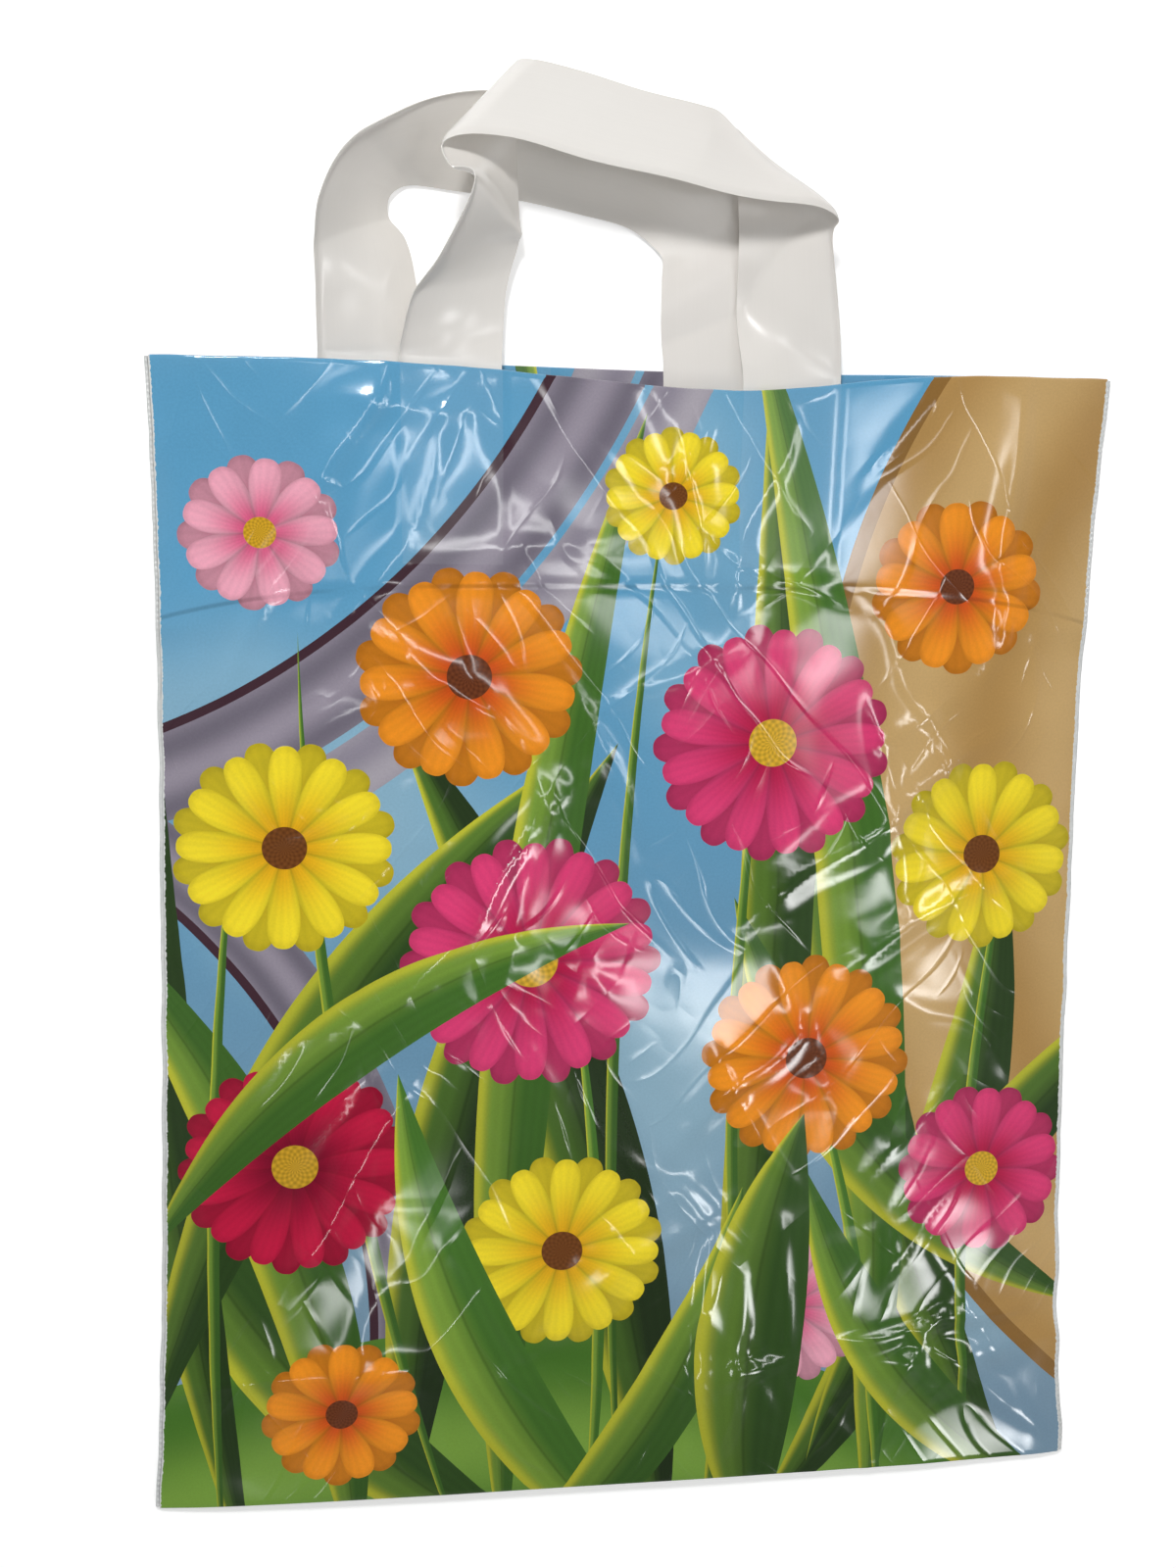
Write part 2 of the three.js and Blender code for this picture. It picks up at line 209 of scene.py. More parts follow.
# Broad soft creases, as shares of the half width and half height, then rise and spread in millimetres.
broad_creases = [
    ((-0.53, 0.99), (-0.87, 0.60), 1.8, 9),
    ((0.02, 0.96), (0.20, 0.63), 1.6, 8),
    ((0.79, 0.97), (0.77, 0.67), 1.4, 8),
    ((-0.79, 0.27), (-0.37, 0.42), 1.5, 10),
    ((-0.41, 0.02), (-0.21, 0.27), 1.8, 9),
    ((0.32, 0.09), (0.68, 0.31), 2.0, 10),
    ((0.51, 0.00), (0.79, 0.11), 1.7, 9),
    ((0.13, -0.31), (0.33, -0.18), 1.6, 9),
    ((-0.68, -0.53), (-0.51, -0.27), 1.5, 10),
    ((-0.16, -0.67), (0.11, -0.49), 1.4, 10),
    ((0.18, -0.93), (0.20, -0.58), 1.6, 9),
    ((0.48, -0.83), (0.88, -0.78), 2.0, 8),
    ((0.55, -0.94), (0.73, -0.84), 1.6, 8),
    ((-0.93, -0.78), (-0.47, -0.76), 1.3, 8),
]
# Sharp creases in the same shares, then rise and the width of each slope in millimetres.
sharp_creases = [
    ((-0.50, 1.02), (-0.90, 0.42), 1.5, 13),
    ((-0.36, 0.98), (-0.62, 0.50), 0.8, 9),
    ((0.06, 0.97), (0.14, 0.55), 1.1, 11),
    ((0.30, 0.96), (0.16, 0.52), 0.9, 9),
    ((0.80, 1.00), (0.79, 0.52), 1.1, 9),
    ((0.92, 0.80), (0.70, 0.40), 0.9, 10),
    ((-0.95, 0.30), (-0.35, 0.50), 1.0, 13),
    ((-0.60, 0.56), (-0.20, 0.34), 0.9, 10),
    ((-0.50, -0.10), (-0.08, 0.36), 1.4, 14),
    ((0.20, 0.02), (0.86, 0.40), 1.6, 16),
    ((0.50, 0.44), (0.62, 0.02), 1.1, 10),
    ((0.44, -0.06), (0.96, 0.16), 1.2, 12),
    ((0.02, -0.42), (0.44, -0.10), 1.2, 13),
    ((-0.80, -0.66), (-0.40, -0.16), 1.2, 13),
    ((-0.92, -0.30), (-0.56, -0.06), 0.9, 11),
    ((-0.30, -0.80), (0.22, -0.44), 1.1, 13),
    ((0.15, -0.98), (0.17, -0.50), 1.4, 8),
    ((0.22, -0.97), (0.25, -0.60), 1.1, 7),
    ((0.40, -0.76), (0.97, -0.70), 1.6, 10),
    ((0.52, -0.98), (0.74, -0.66), 1.5, 11),
    ((0.94, -0.95), (0.62, -0.72), 1.4, 10),
    ((0.66, -0.55), (0.90, -0.86), 1.1, 9),
    ((-0.97, -0.80), (-0.40, -0.74), 1.1, 9),
    ((-0.70, -0.98), (-0.52, -0.60), 1.0, 10),
]


def scattered(seed, count):
    """Places over the panel in millimetres, most of them towards its lower right, each with a draw."""
    draw = np.random.RandomState(seed)
    for k in range(count):
        x = 182 * (2 * draw.uniform() ** 0.8 - 1) * MM
        y = 218 * (1 - 2 * draw.uniform() ** 0.9) * MM
        yield x, y, draw


def over_handle_ends(x, y):
    """From 0 to 1 where the front handle's two welded ends lie under the film."""
    inside = 0
    for end_x in handle_ends_x:
        past_edge = np.abs(x - end_x) - handle_width / 2
        inside = inside + 1 - smoothstep(past_edge, -1 * MM, 1 * MM)
    past_end = y - (mouth_y - welded_length)
    return inside * smoothstep(past_end, -1 * MM, 1 * MM)


def on_panel(*places):
    """Places given as shares of the half width and the half height."""
    return [(share_x * half_width, share_y * mouth_y) for share_x, share_y in places]


def relief(x, y):
    """How far the creased front film stands above where it would lie smooth."""
    wide_swells = 0.7 * MM * hills(x, y, 75 * MM, 5)
    small_swells = 0.3 * MM * hills(x, y, 30 * MM, 6)
    height = wide_swells + small_swells
    for start, end, rise, spread in broad_creases:
        height = height + 0.7 * soft_ridge(x, y, *on_panel(start, end), rise * MM, spread * MM)
    bend = 5 * MM * hills(x, y, 38 * MM, 14)
    for start, end, rise, slope_width in sharp_creases:
        height = height + sharp_ridge(x + bend, y - bend, *on_panel(start, end), rise * MM, slope_width * MM)
    for middle_x, middle_y, draw in scattered(71, 46):
        length = draw.uniform(25, 95) * MM
        angle = draw.choice((0.75, 2.2)) + draw.normal(0, 0.35)
        run_x, run_y = math.cos(angle) * length / 2, math.sin(angle) * length / 2
        start, end = (middle_x - run_x, middle_y - run_y), (middle_x + run_x, middle_y + run_y)
        rise, slope_width = draw.uniform(0.35, 0.95) * MM, draw.uniform(6, 12) * MM
        height = height + sharp_ridge(x + bend, y + bend, start, end, rise, slope_width)
    for middle_x, middle_y, draw in scattered(83, 30):
        rise, reach = draw.uniform(0.2, 0.55) * MM, draw.uniform(8, 20) * MM
        height = height + pinch(x, y, (middle_x, middle_y), rise, reach, draw.randint(10000))
    near_side = np.exp(-(half_width - np.abs(x)) / (13 * MM))
    side_puckers = 0.6 * MM * hills(x * 0.35, y, 9 * MM, 19)
    at_right = smoothstep(x, 0.2 * half_width, 0.6 * half_width)
    low_down = 1 - smoothstep(y, -0.7 * mouth_y, -0.3 * mouth_y)
    low_puckers = 1.1 * MM * hills(x, y, 26 * MM, 31)
    near_hem = np.exp(-(((y - hem_edge(x)) / (9 * MM)) ** 2))
    hem_puckers = 0.45 * MM * hills(x, y * 0.3, 16 * MM, 23)
    height = height + near_side * side_puckers + at_right * low_down * low_puckers + near_hem * hem_puckers
    soft_floor = 0.45 * MM
    height = soft_floor * np.logaddexp(0, height / soft_floor)
    height = height * np.minimum(1, (half_width - np.abs(x)) / (16 * MM)) ** 0.6
    return height + 0.22 * MM * over_handle_ends(x, y)


def front_level(x, y):
    return smooth_level(x, y) + relief(x, y)


def place_across(x, y):
    """The bag's sides draw in a little between its foot and its mouth, and waver along the weld."""
    bow = np.where(x < 0, side_bow_left, side_bow_right)
    drawn_in = bow * (1 - (np.abs(y) / mouth_y) ** 3)
    low_right = np.where(x > 0, 1 - smoothstep(y, -190 * MM, -60 * MM), 0)
    waver = (0.45 + 0.7 * low_right) * MM * hills(x * 0 + np.sign(x), y, 17 * MM, 3)
    return x - x / half_width * drawn_in + waver * (np.abs(x) / half_width) ** 8


# The film's section, row by row: from the front hem's cut edge over the mouth, down the front panel, round
# the gusset, up the back panel and over to the back hem's cut edge.
film_columns = 170
x_line = np.linspace(-1, 1, film_columns + 1) * (half_width - weld_width / 2)
front_mouth = mouth_edge(x_line, mouth_sag) + 0.3 * MM * hills(x_line, x_line * 0, 15 * MM, 8)
back_mouth = mouth_edge(x_line, back_mouth_sag)
hem = hem_edge(x_line)
fold = layer_pitch / 2
section_y, section_z, section_print, section_side = [], [], [], []


def add_row(y, z, print_y, print_side=1):
    """One line of the film from side to side. print_y is its place on the flat print, and print_side
    is -1 where the print is seen from the back."""
    section_y.append(y + 0 * x_line)
    section_z.append(z + 0 * x_line)
    section_print.append(print_y + 0 * x_line)
    section_side.append(print_side)


def add_front(start, end, rows, drop=0):
    """Rows of the front panel's film from start to end, or of its hem, which lies a drop beneath it."""
    for k in range(rows):
        y = start + (end - start) * k / rows
        add_row(y, front_level(x_line, y) - drop, 2 * front_mouth - y if drop else y)


def add_fold(y, away, start, end, print_y, print_side=1):
    """A round fold from one level to another, with its crest at y. away is 1 where the crest points to
    +Y, and -1 where it points to -Y."""
    radius = np.abs(end - start) / 2
    steps = 6
    for k in range(steps + 1):
        angle = math.pi * k / steps
        height = start + (end - start) * (1 - math.cos(angle)) / 2
        add_row(y - away * radius * (1 - math.sin(angle)), height, print_y, print_side)


add_front(hem, front_mouth - fold, rows=10, drop=layer_pitch)
at_mouth = front_level(x_line, front_mouth - fold)
add_fold(front_mouth, 1, at_mouth - layer_pitch, at_mouth, front_mouth)
add_front(front_mouth - 2 * MM, hem + hem_step_reach, rows=40)
add_front(hem + hem_step_reach, hem - hem_step_reach, rows=6)
add_front(hem - hem_step_reach, gusset_y + 3 * MM, rows=126)
add_front(gusset_y + 3 * MM, foot_y + fold, rows=28)
at_foot = front_level(x_line, foot_y + fold)
add_fold(foot_y, -1, at_foot, at_foot - layer_pitch, foot_y)
apex = (front_level(x_line, gusset_y) + back_level) / 2
for share in (0.3, 0.65):
    height = (at_foot - layer_pitch) * (1 - share) + (apex + fold) * share
    add_row(foot_y + gusset_depth * share, height, foot_y - gusset_depth * share)
add_fold(gusset_y, 1, apex + fold, apex - fold, foot_y - gusset_depth)
for share in (0.65, 0.3):
    height = (back_level + layer_pitch) * (1 - share) + (apex - fold) * share
    add_row(foot_y + gusset_depth * share, height, foot_y - gusset_depth * share)
add_fold(foot_y, -1, back_level + layer_pitch, back_level, foot_y, -1)
for share in np.linspace(0.12, 0.96, 7):
    y = foot_y + (back_mouth - foot_y) * share
    add_row(y, back_level, y, -1)
add_fold(back_mouth, 1, back_level, back_level + layer_pitch, back_mouth, -1)
for share in (0.5, 1):
    y = back_mouth + (hem - back_mouth) * share
    add_row(y, back_level + layer_pitch, 2 * back_mouth - y, -1)


def film_mesh(name, grid, wall, print_places):
    """A closed film of even thickness round a grid of points. Material 0 is on its outer face, and
    material 1 on its inner face and its cut edges."""
    columns, rows = grid.shape[:2]
    count = columns * rows
    outward = np.cross(np.gradient(grid, axis=1), np.gradient(grid, axis=0))
    outward *= wall / 2 / np.linalg.norm(outward, axis=2, keepdims=True)
    points = np.concatenate([grid + outward, grid - outward]).reshape(-1, 3)
    first = (np.arange(columns - 1)[:, None] * rows + np.arange(rows - 1)[None, :]).ravel()
    outer = np.stack([first, first + 1, first + rows + 1, first + rows], axis=1)
    inner = outer[:, ::-1] + count
    rim = [*range(rows - 1), *(i * rows + rows - 1 for i in range(columns - 1))]
    rim += [*((columns - 1) * rows + j for j in range(rows - 1, 0, -1))]
    rim += [*(i * rows for i in range(columns - 1, 0, -1))]
    rim = np.array(rim)
    after = np.roll(rim, -1)
    edge = np.stack([rim, rim + count, after + count, after], axis=1)
    faces = np.concatenate([outer, inner, edge])
    mesh = bpy.data.meshes.new(name)
    mesh.from_pydata(points.tolist(), [], faces.tolist())
    slots = np.ones(len(faces), np.int32)
    slots[:len(outer)] = 0
    mesh.polygons.foreach_set("material_index", slots)
    mesh.polygons.foreach_set("use_smooth", np.ones(len(faces), bool))
    places = np.concatenate([print_places, print_places]).reshape(-1, 2)
    corners = np.zeros(len(mesh.loops), np.int32)
    mesh.loops.foreach_get("vertex_index", corners)
    layer = mesh.uv_layers.new(name="print")
    layer.data.foreach_set("uv", places[corners].astype(np.float32).ravel())
    mesh.set_sharp_from_angle(angle=sharp_edge)
    mesh.update()
    return mesh


def new_piece(name, mesh):
    piece = bpy.data.objects.new(name, mesh)
    bpy.context.scene.collection.objects.link(piece)
    return piece


section_y = np.array(section_y).T
section_z = np.array(section_z).T
section_x = place_across(x_line[:, None] + 0 * section_y, section_y)
film_grid = np.stack([section_x + bag_middle.x, section_y + bag_middle.y, section_z], axis=2)
print_grid = np.stack([x_line[:, None] * np.array(section_side)[None, :], np.array(section_print).T], axis=2)
bag_film = new_piece("bag_film", film_mesh("bag_film", film_grid, film_wall, print_grid))


class Nodes:
    """Writes a tree of shader nodes: each call makes one node and gives its output."""

    def __init__(self, tree):
        self.tree = tree

    def make(self, kind, **settings):
        node = self.tree.nodes.new(kind)
        for name, value in settings.items():
            setattr(node, name, value)
        return node

    def link(self, value, socket):
        if isinstance(value, bpy.types.NodeSocket):
            self.tree.links.new(value, socket)
        else:
            socket.default_value = value

    def fill(self, node, values):
        for value, socket in zip(values, node.inputs):
            self.link(value, socket)
        return node.outputs

    def math(self, operation, *values):
        return self.fill(self.make("ShaderNodeMath", operation=operation), values)[0]

    def gap(self, first, second):
        """How far apart two values are."""
        return self.math("ABSOLUTE", self.math("SUBTRACT", first, second))

    def vector(self, operation, *values):
        node = self.make("ShaderNodeVectorMath", operation=operation)
        outputs = self.fill(node, values)
        return outputs["Value"] if operation in ("LENGTH", "DOT_PRODUCT", "DISTANCE") else outputs["Vector"]

    def join(self, x, y, z=0.0):
        return self.fill(self.make("ShaderNodeCombineXYZ"), (x, y, z))[0]

    def split(self, vector):
        return self.fill(self.make("ShaderNodeSeparateXYZ"), (vector,))

    def ramp(self, value, low, high, start=0.0, end=1.0):
        """A smooth change from start to end, while the value goes from low to high."""
        node = self.make("ShaderNodeMapRange", interpolation_type="SMOOTHSTEP", clamp=False)
        return self.fill(node, (value, low, high, start, end))[0]

    def pick(self, share, first, second):
        node = self.make("ShaderNodeMix", data_type="VECTOR", clamp_factor=False)
        self.link(share, node.inputs[0])
        self.link(first, node.inputs[4])
        self.link(second, node.inputs[5])
        return node.outputs[1]

    def blend(self, share, first, second, kind="MIX"):
        node = self.make("ShaderNodeMix", data_type="RGBA", clamp_factor=False, blend_type=kind)
        self.link(share, node.inputs[0])
        self.link(first, node.inputs[6])
        self.link(second, node.inputs[7])
        return node.outputs[2]

    def darken(self, colour, level):
        """The colour made darker, or lighter where the level is over 1."""
        return self.blend(1.0, colour, self.join(level, level, level), "MULTIPLY")

    def choose(self, value, colours):
        """One of a row of colours, by a value that counts them from 0."""
        node = self.make("ShaderNodeValToRGB")
        ramp = node.color_ramp
        ramp.interpolation = "CONSTANT"
        while len(ramp.elements) < len(colours):
            ramp.elements.new(0.5)
        for k, colour in enumerate(colours):
            ramp.elements[k].position = max(0, (k - 0.5) / len(colours))
            ramp.elements[k].color = colour
        self.link(self.math("DIVIDE", value, float(len(colours))), node.inputs[0])
        return node.outputs[0]

    def group(self, tree, *values):
        return self.fill(self.make("ShaderNodeGroup", node_tree=tree), values)

    def local(self, place, middle, turn, size_x, size_y):
        """Places measured from a middle, along a direction in degrees and across it, as shares of two
        sizes."""
        turned = (0, 0, math.radians(turn))
        node = self.make("ShaderNodeMapping", vector_type="TEXTURE")
        return self.fill(node, (place, (*middle, 0), turned, (size_x, size_y, 1)))[0]

    def noise(self, place, scale, detail=2.0, rough=0.5):
        node = self.make("ShaderNodeTexNoise")
        self.link(place, node.inputs["Vector"])
        self.link(scale, node.inputs["Scale"])
        node.inputs["Detail"].default_value = detail
        node.inputs["Roughness"].default_value = rough
        return node.outputs["Fac"]


def ink(red, green, blue):
    """A colour given as it looks on a screen, 0 to 255, in the linear light that nodes work in."""
    shares = [level / 255 for level in (red, green, blue)]
    return (*[s / 12.92 if s < 0.04 else ((s + 0.055) / 1.055) ** 2.4 for s in shares], 1.0)


def new_material(name):
    material = bpy.data.materials.new(name)
    material.use_nodes = True
    nodes = Nodes(material.node_tree)
    return material, nodes, material.node_tree.nodes["Principled BSDF"]


# What all the film carries: long thin creases that run two ways, each in its own zones, and fainter
# crinkles. The heights that the group gives are in millimetres.
film_crinkle = bpy.data.node_groups.new("film_crinkle", "ShaderNodeTree")
for label, kind in (("Place", "Vector"), ("Scale", "Float"), ("Crinkles", "Float"), ("Creases", "Float")):
    film_crinkle.interface.new_socket(label, in_out="INPUT", socket_type="NodeSocket" + kind)
film_crinkle.interface.new_socket("Height", in_out="OUTPUT", socket_type="NodeSocketFloat")
n = Nodes(film_crinkle)
given = n.make("NodeGroupInput").outputs
zones = n.noise(given["Place"], n.math("MULTIPLY", given["Scale"], 0.3), 1.0)
ridges = n.gap(n.noise(given["Place"], given["Scale"], 1.0, 0.6), 0.5)
ridges = n.math("MULTIPLY", ridges, n.ramp(zones, 0.4, 0.62, 0.25, 1.0))
creased = 0.0
for turn, zone in ((128, 0.42), (52, 0.56)):
    way = math.radians(turn)
    along = n.vector("DOT_PRODUCT", given["Place"], (math.cos(way) * 0.15, math.sin(way) * 0.15, 0))
    beside = n.vector("DOT_PRODUCT", given["Place"], (-math.sin(way), math.cos(way), 0))
    beside = n.math("MULTIPLY_ADD", zones, 0.035, beside)
    crossing = n.noise(n.join(along, beside, 10 * zone), given["Scale"], 0.0)
    keen = n.math("MULTIPLY_ADD", n.gap(crossing, 0.5), -20.0, 1.0)
    keen = n.math("MAXIMUM", keen, 0.0)
    here = n.math("MULTIPLY_ADD", n.gap(zones, zone), -9.0, 1.0)
    keen = n.math("MULTIPLY", n.math("MULTIPLY", keen, keen), n.math("MAXIMUM", here, 0.0))
    creased = n.math("MAXIMUM", keen, creased)
height = n.math("MULTIPLY", ridges, given["Crinkles"])
height = n.math("MULTIPLY_ADD", creased, given["Creases"], height)
n.link(height, n.make("NodeGroupOutput").inputs["Height"])


def add_crinkle(nodes, shader, place, scale, crinkles, creases):
    """Crinkles a film's surface, with the heights of its crinkles and creases in millimetres."""
    bump = nodes.make("ShaderNodeBump")
    bump.inputs["Strength"].default_value = 1.0
    bump.inputs["Distance"].default_value = 1 * MM
    nodes.link(nodes.group(film_crinkle, place, scale, crinkles, creases)["Height"], bump.inputs["Height"])
    nodes.link(bump.outputs[0], shader.inputs["Normal"])


printed_film, n, shader = new_material("printed_film")
place = n.make("ShaderNodeUVMap", uv_map="print").outputs[0]
across, up, _ = n.split(place)

# The print's ground is an evening sky. On it lie rings about four middles: two bands that curve over it,
# warm sand at the right and a green hill. Each ring is: outer and inner radius, its two colours, and the
# angle in radians over which they wave into each other.
sky = n.blend(n.ramp(up, -0.2, 0.16), ink(126, 156, 178), ink(98, 166, 206))
paint = n.blend(n.ramp(n.noise(place, 8.0, 1.0), 0.42, 0.7, 0.0, 0.55), sky, ink(172, 206, 220))
fields = [
    (-0.30, 0.36, [
        (0.355, 0.333, ink(178, 172, 182), ink(150, 144, 158), 6.0),
        (0.330, 0.298, ink(160, 152, 166), ink(120, 114, 128), 9.0),
        (0.298, 0.2945, ink(70, 45, 55), None, 0.0),
    ]),
    (-0.34, -0.16, [
        (0.26, 0.236, ink(160, 152, 166), ink(118, 112, 126), 9.0),
        (0.236, 0.2325, ink(70, 45, 55), None, 0.0),
    ]),
    (0.40, 0.06, [
        (0.33, 0.324, ink(146, 108, 56), None, 0.0),
        (0.324, 0.0, ink(186, 146, 86), ink(212, 176, 118), 30.0),
    ]),
    (-0.06, -0.56, [
        (0.405, 0.0, ink(126, 166, 68), ink(74, 120, 42), 34.0),
    ]),
]
for middle_x, middle_y, rings in fields:
    away = n.vector("DISTANCE", place, (middle_x, middle_y, 0))
    for outer, inner, light, dark, waves in rings:
        if waves:
            depth = n.math("MULTIPLY_ADD", away, waves / (outer - inner), -inner * waves / (outer - inner))
            light = n.blend(n.math("MULTIPLY_ADD", n.math("SINE", depth), 0.5, 0.5), light, dark)
        inside = n.math("COMPARE", away, (outer + inner) / 2, (outer - inner) / 2)
        paint = n.blend(inside, paint, light)


def blade_shape(nodes, blade):
    """How far along a blade each place lies, and how far aside, each as a share, before it is bent."""
    along, aside, _ = nodes.split(blade)
    arch = nodes.math("MULTIPLY", along, nodes.math("MULTIPLY_ADD", along, -4.0, 4.0))
    return along, nodes.math("DIVIDE", aside, nodes.math("MAXIMUM", arch, 1e-5))


def lay_leaves(nodes, paint, leaves):
    """Prints a bed of curved blades, the last one uppermost. Each is: foot x and y, length, direction in
    degrees, half its width, how far it bends aside, and its tone from 0, dark, to 1, bright."""
    blade, traits = (0.0, 2.0, 0.0), (0.0, 0.01, 0.0)
    for foot_x, foot_up, length, direction, half_blade, bend, tone in leaves:
        this_blade = nodes.local(place, (foot_x, foot_up), direction, length, 1)
        _, aside = blade_shape(nodes, this_blade)
        inside = nodes.math("COMPARE", aside, bend, half_blade)
        blade = nodes.pick(inside, blade, this_blade)
        traits = nodes.pick(inside, traits, (bend, half_blade, tone))
    along, aside = blade_shape(nodes, blade)
    bend, half_blade, tone = nodes.split(traits)
    share = nodes.math("DIVIDE", nodes.math("SUBTRACT", aside, bend), half_blade)
    reach = nodes.math("ABSOLUTE", share)
    dark = nodes.blend(tone, ink(40, 58, 30), ink(76, 124, 46))
    light = nodes.blend(tone, ink(78, 112, 44), ink(136, 172, 66))
    colour = nodes.blend(nodes.ramp(share, -0.35, 0.5), dark, light)
    colour = nodes.blend(nodes.ramp(share, 0.55, 0.98, 0.0, 0.9), colour, ink(206, 204, 58))
    veins = nodes.math("MULTIPLY_ADD", nodes.math("SINE", nodes.math("MULTIPLY", share, 24.0)), 0.035, 1.0)
    lit = nodes.math("MULTIPLY", veins, nodes.ramp(along, 0.0, 1.0, 0.78, 1.12))
    lit = nodes.math("MULTIPLY", lit, nodes.ramp(reach, 0.0, 0.07, 0.72, 1.0))
    return nodes.blend(nodes.math("LESS_THAN", reach, 1.0), paint, nodes.darken(colour, lit))


paint = lay_leaves(n, paint, [
    (-0.090, -0.24, 0.33, 76, 0.0190, 0.024, 0.0),
    (0.015, -0.26, 0.37, 108, 0.0210, -0.022, 0.0),
    (0.050, -0.25, 0.31, 70, 0.0200, -0.030, 0.1),
    (-0.020, -0.26, 0.28, 132, 0.0190, 0.028, 0.3),
    (0.075, -0.22, 0.30, 46, 0.0170, 0.030, 0.1),
    (-0.150, -0.26, 0.46, 96, 0.0150, 0.020, 0.1),
    (-0.195, -0.20, 0.33, 58, 0.0180, 0.030, 0.2),
    (0.175, -0.26, 0.44, 104, 0.0170, 0.026, 0.3),
    (0.030, -0.26, 0.50, 88, 0.0160, -0.018, 0.2),
    (-0.050, -0.26, 0.47, 84, 0.0150, 0.022, 0.7),
    (0.100, -0.26, 0.52, 97, 0.0170, -0.026, 0.8),
    (-0.110, -0.26, 0.30, 112, 0.0170, -0.026, 0.6),
    (0.200, -0.16, 0.24, 132, 0.0160, 0.026, 0.5),
    (-0.160, -0.27, 0.33, 90, 0.0024, 0.010, 0.6),
    (-0.060, -0.27, 0.40, 101, 0.0026, 0.018, 0.7),
    (-0.020, -0.27, 0.27, 92, 0.0026, -0.010, 0.9),
    (0.060, -0.27, 0.38, 91, 0.0026, 0.016, 0.7),
    (0.105, -0.27, 0.24, 99, 0.0026, -0.012, 0.9),
    (0.150, -0.27, 0.32, 88, 0.0026, 0.012, 0.7),
    (0.000, -0.27, 0.45, 89, 0.0024, 0.014, 0.6),
])

# Round blossoms, each: middle x and y, radius, petals, turn and kind, from 0 to 4.
blossoms = [
    (-0.150, 0.160, 0.031, 9, 0.3, 0),
    (0.010, 0.176, 0.028, 10, 0.9, 3),
    (0.130, 0.142, 0.037, 9, 0.1, 2),
    (-0.070, 0.106, 0.045, 11, 0.5, 2),
    (0.054, 0.080, 0.050, 13, 0.2, 1),
    (-0.142, 0.040, 0.044, 12, 0.8, 3),
    (0.147, 0.034, 0.041, 11, 0.4, 3),
    (-0.044, -0.006, 0.053, 14, 0.0, 1),
    (0.072, -0.048, 0.045, 12, 0.6, 2),
    (-0.138, -0.086, 0.046, 13, 0.2, 4),
    (0.152, -0.098, 0.038, 10, 0.7, 1),
    (-0.030, -0.124, 0.042, 12, 0.3, 3),
    (0.066, -0.152, 0.036, 11, 0.1, 0),
    (-0.118, -0.188, 0.032, 9, 0.9, 2),
]
bloom, habit = (2.0, 0.0, 0.0), (9.0, 0.0, 0.0)
for middle_x, middle_y, size, petals, turned, kind in blossoms:
    off = n.local(place, (middle_x, middle_y), 0, size, size / 1.06)
    inside = n.math("LESS_THAN", n.vector("LENGTH", off), 1.02)
    bloom = n.pick(inside, bloom, off)
    habit = n.pick(inside, habit, (petals, turned, kind))
off_x, off_y, _ = n.split(bloom)
petals, turned, kind = n.split(habit)
radius = n.vector("LENGTH", bloom)
angle = n.math("MULTIPLY", n.math("ADD", n.math("ARCTAN2", off_y, off_x), turned), 1 / (2 * math.pi))
count = n.math("MULTIPLY", angle, petals)
tips = n.choose(kind, [ink(240, 168, 188), ink(222, 64, 118), ink(243, 148, 36), ink(248, 224, 48),
                       ink(196, 26, 66)])
throat = n.choose(kind, [ink(214, 84, 128), ink(178, 18, 66), ink(206, 76, 24), ink(226, 168, 24),
                         ink(120, 8, 40)])
# Each blossom has two rings of petals, the outer one darker and half a petal further round, and an eye.
for ring_turn, ring_size, ring_tone in ((0.5, 1.0, 0.62), (0.0, 0.95, 1.0)):
    phase = n.math("SUBTRACT", n.math("FRACT", n.math("ADD", count, ring_turn + 20)), 0.5)
    side = n.math("MULTIPLY", n.math("ABSOLUTE", phase), 2.0)
    outline = n.math("MULTIPLY_ADD", n.math("POWER", side, 2.6), -0.42 * ring_size, ring_size)
    reach = n.math("DIVIDE", radius, outline)
    shade = n.math("MULTIPLY_ADD", n.math("POWER", side, 3.0), -0.42, 1.05)
    shade = n.math("ADD", shade, n.math("MULTIPLY", n.math("SINE", n.math("MULTIPLY", phase, 34.0)), 0.03))
    shade = n.math("ADD", shade, n.ramp(phase, -0.3, 0.3, 0.0, 0.12))
    shade = n.math("MULTIPLY", shade, n.ramp(reach, 0.9, 0.99, ring_tone, 0.84 * ring_tone))
    petal = n.darken(n.blend(n.ramp(reach, 0.12, 0.82), throat, tips), shade)
    paint = n.blend(n.math("LESS_THAN", reach, 1.0), paint, petal)
dots = n.math("MULTIPLY", n.math("SINE", n.math("MULTIPLY", angle, 30 * math.pi)),
              n.math("SINE", n.math("MULTIPLY", radius, 95.0)))
eye = n.choose(kind, [ink(214, 166, 40), ink(222, 176, 46), ink(112, 58, 30), ink(120, 70, 30),
                      ink(206, 160, 40)])
eye = n.darken(eye, n.math("MULTIPLY_ADD", dots, 0.25, 0.95))
paint = n.blend(n.math("LESS_THAN", radius, 0.2), paint, eye)
paint = lay_leaves(n, paint, [
    (-0.195, -0.12, 0.23, 34, 0.0150, 0.026, 0.8),
    (0.020, -0.27, 0.25, 118, 0.0170, 0.024, 0.9),
    (0.195, -0.25, 0.20, 128, 0.0150, 0.022, 0.6),
    (-0.060, -0.27, 0.20, 58, 0.0150, -0.020, 0.5),
    (0.052, -0.26, 0.19, 84, 0.0230, 0.012, 0.3),
])

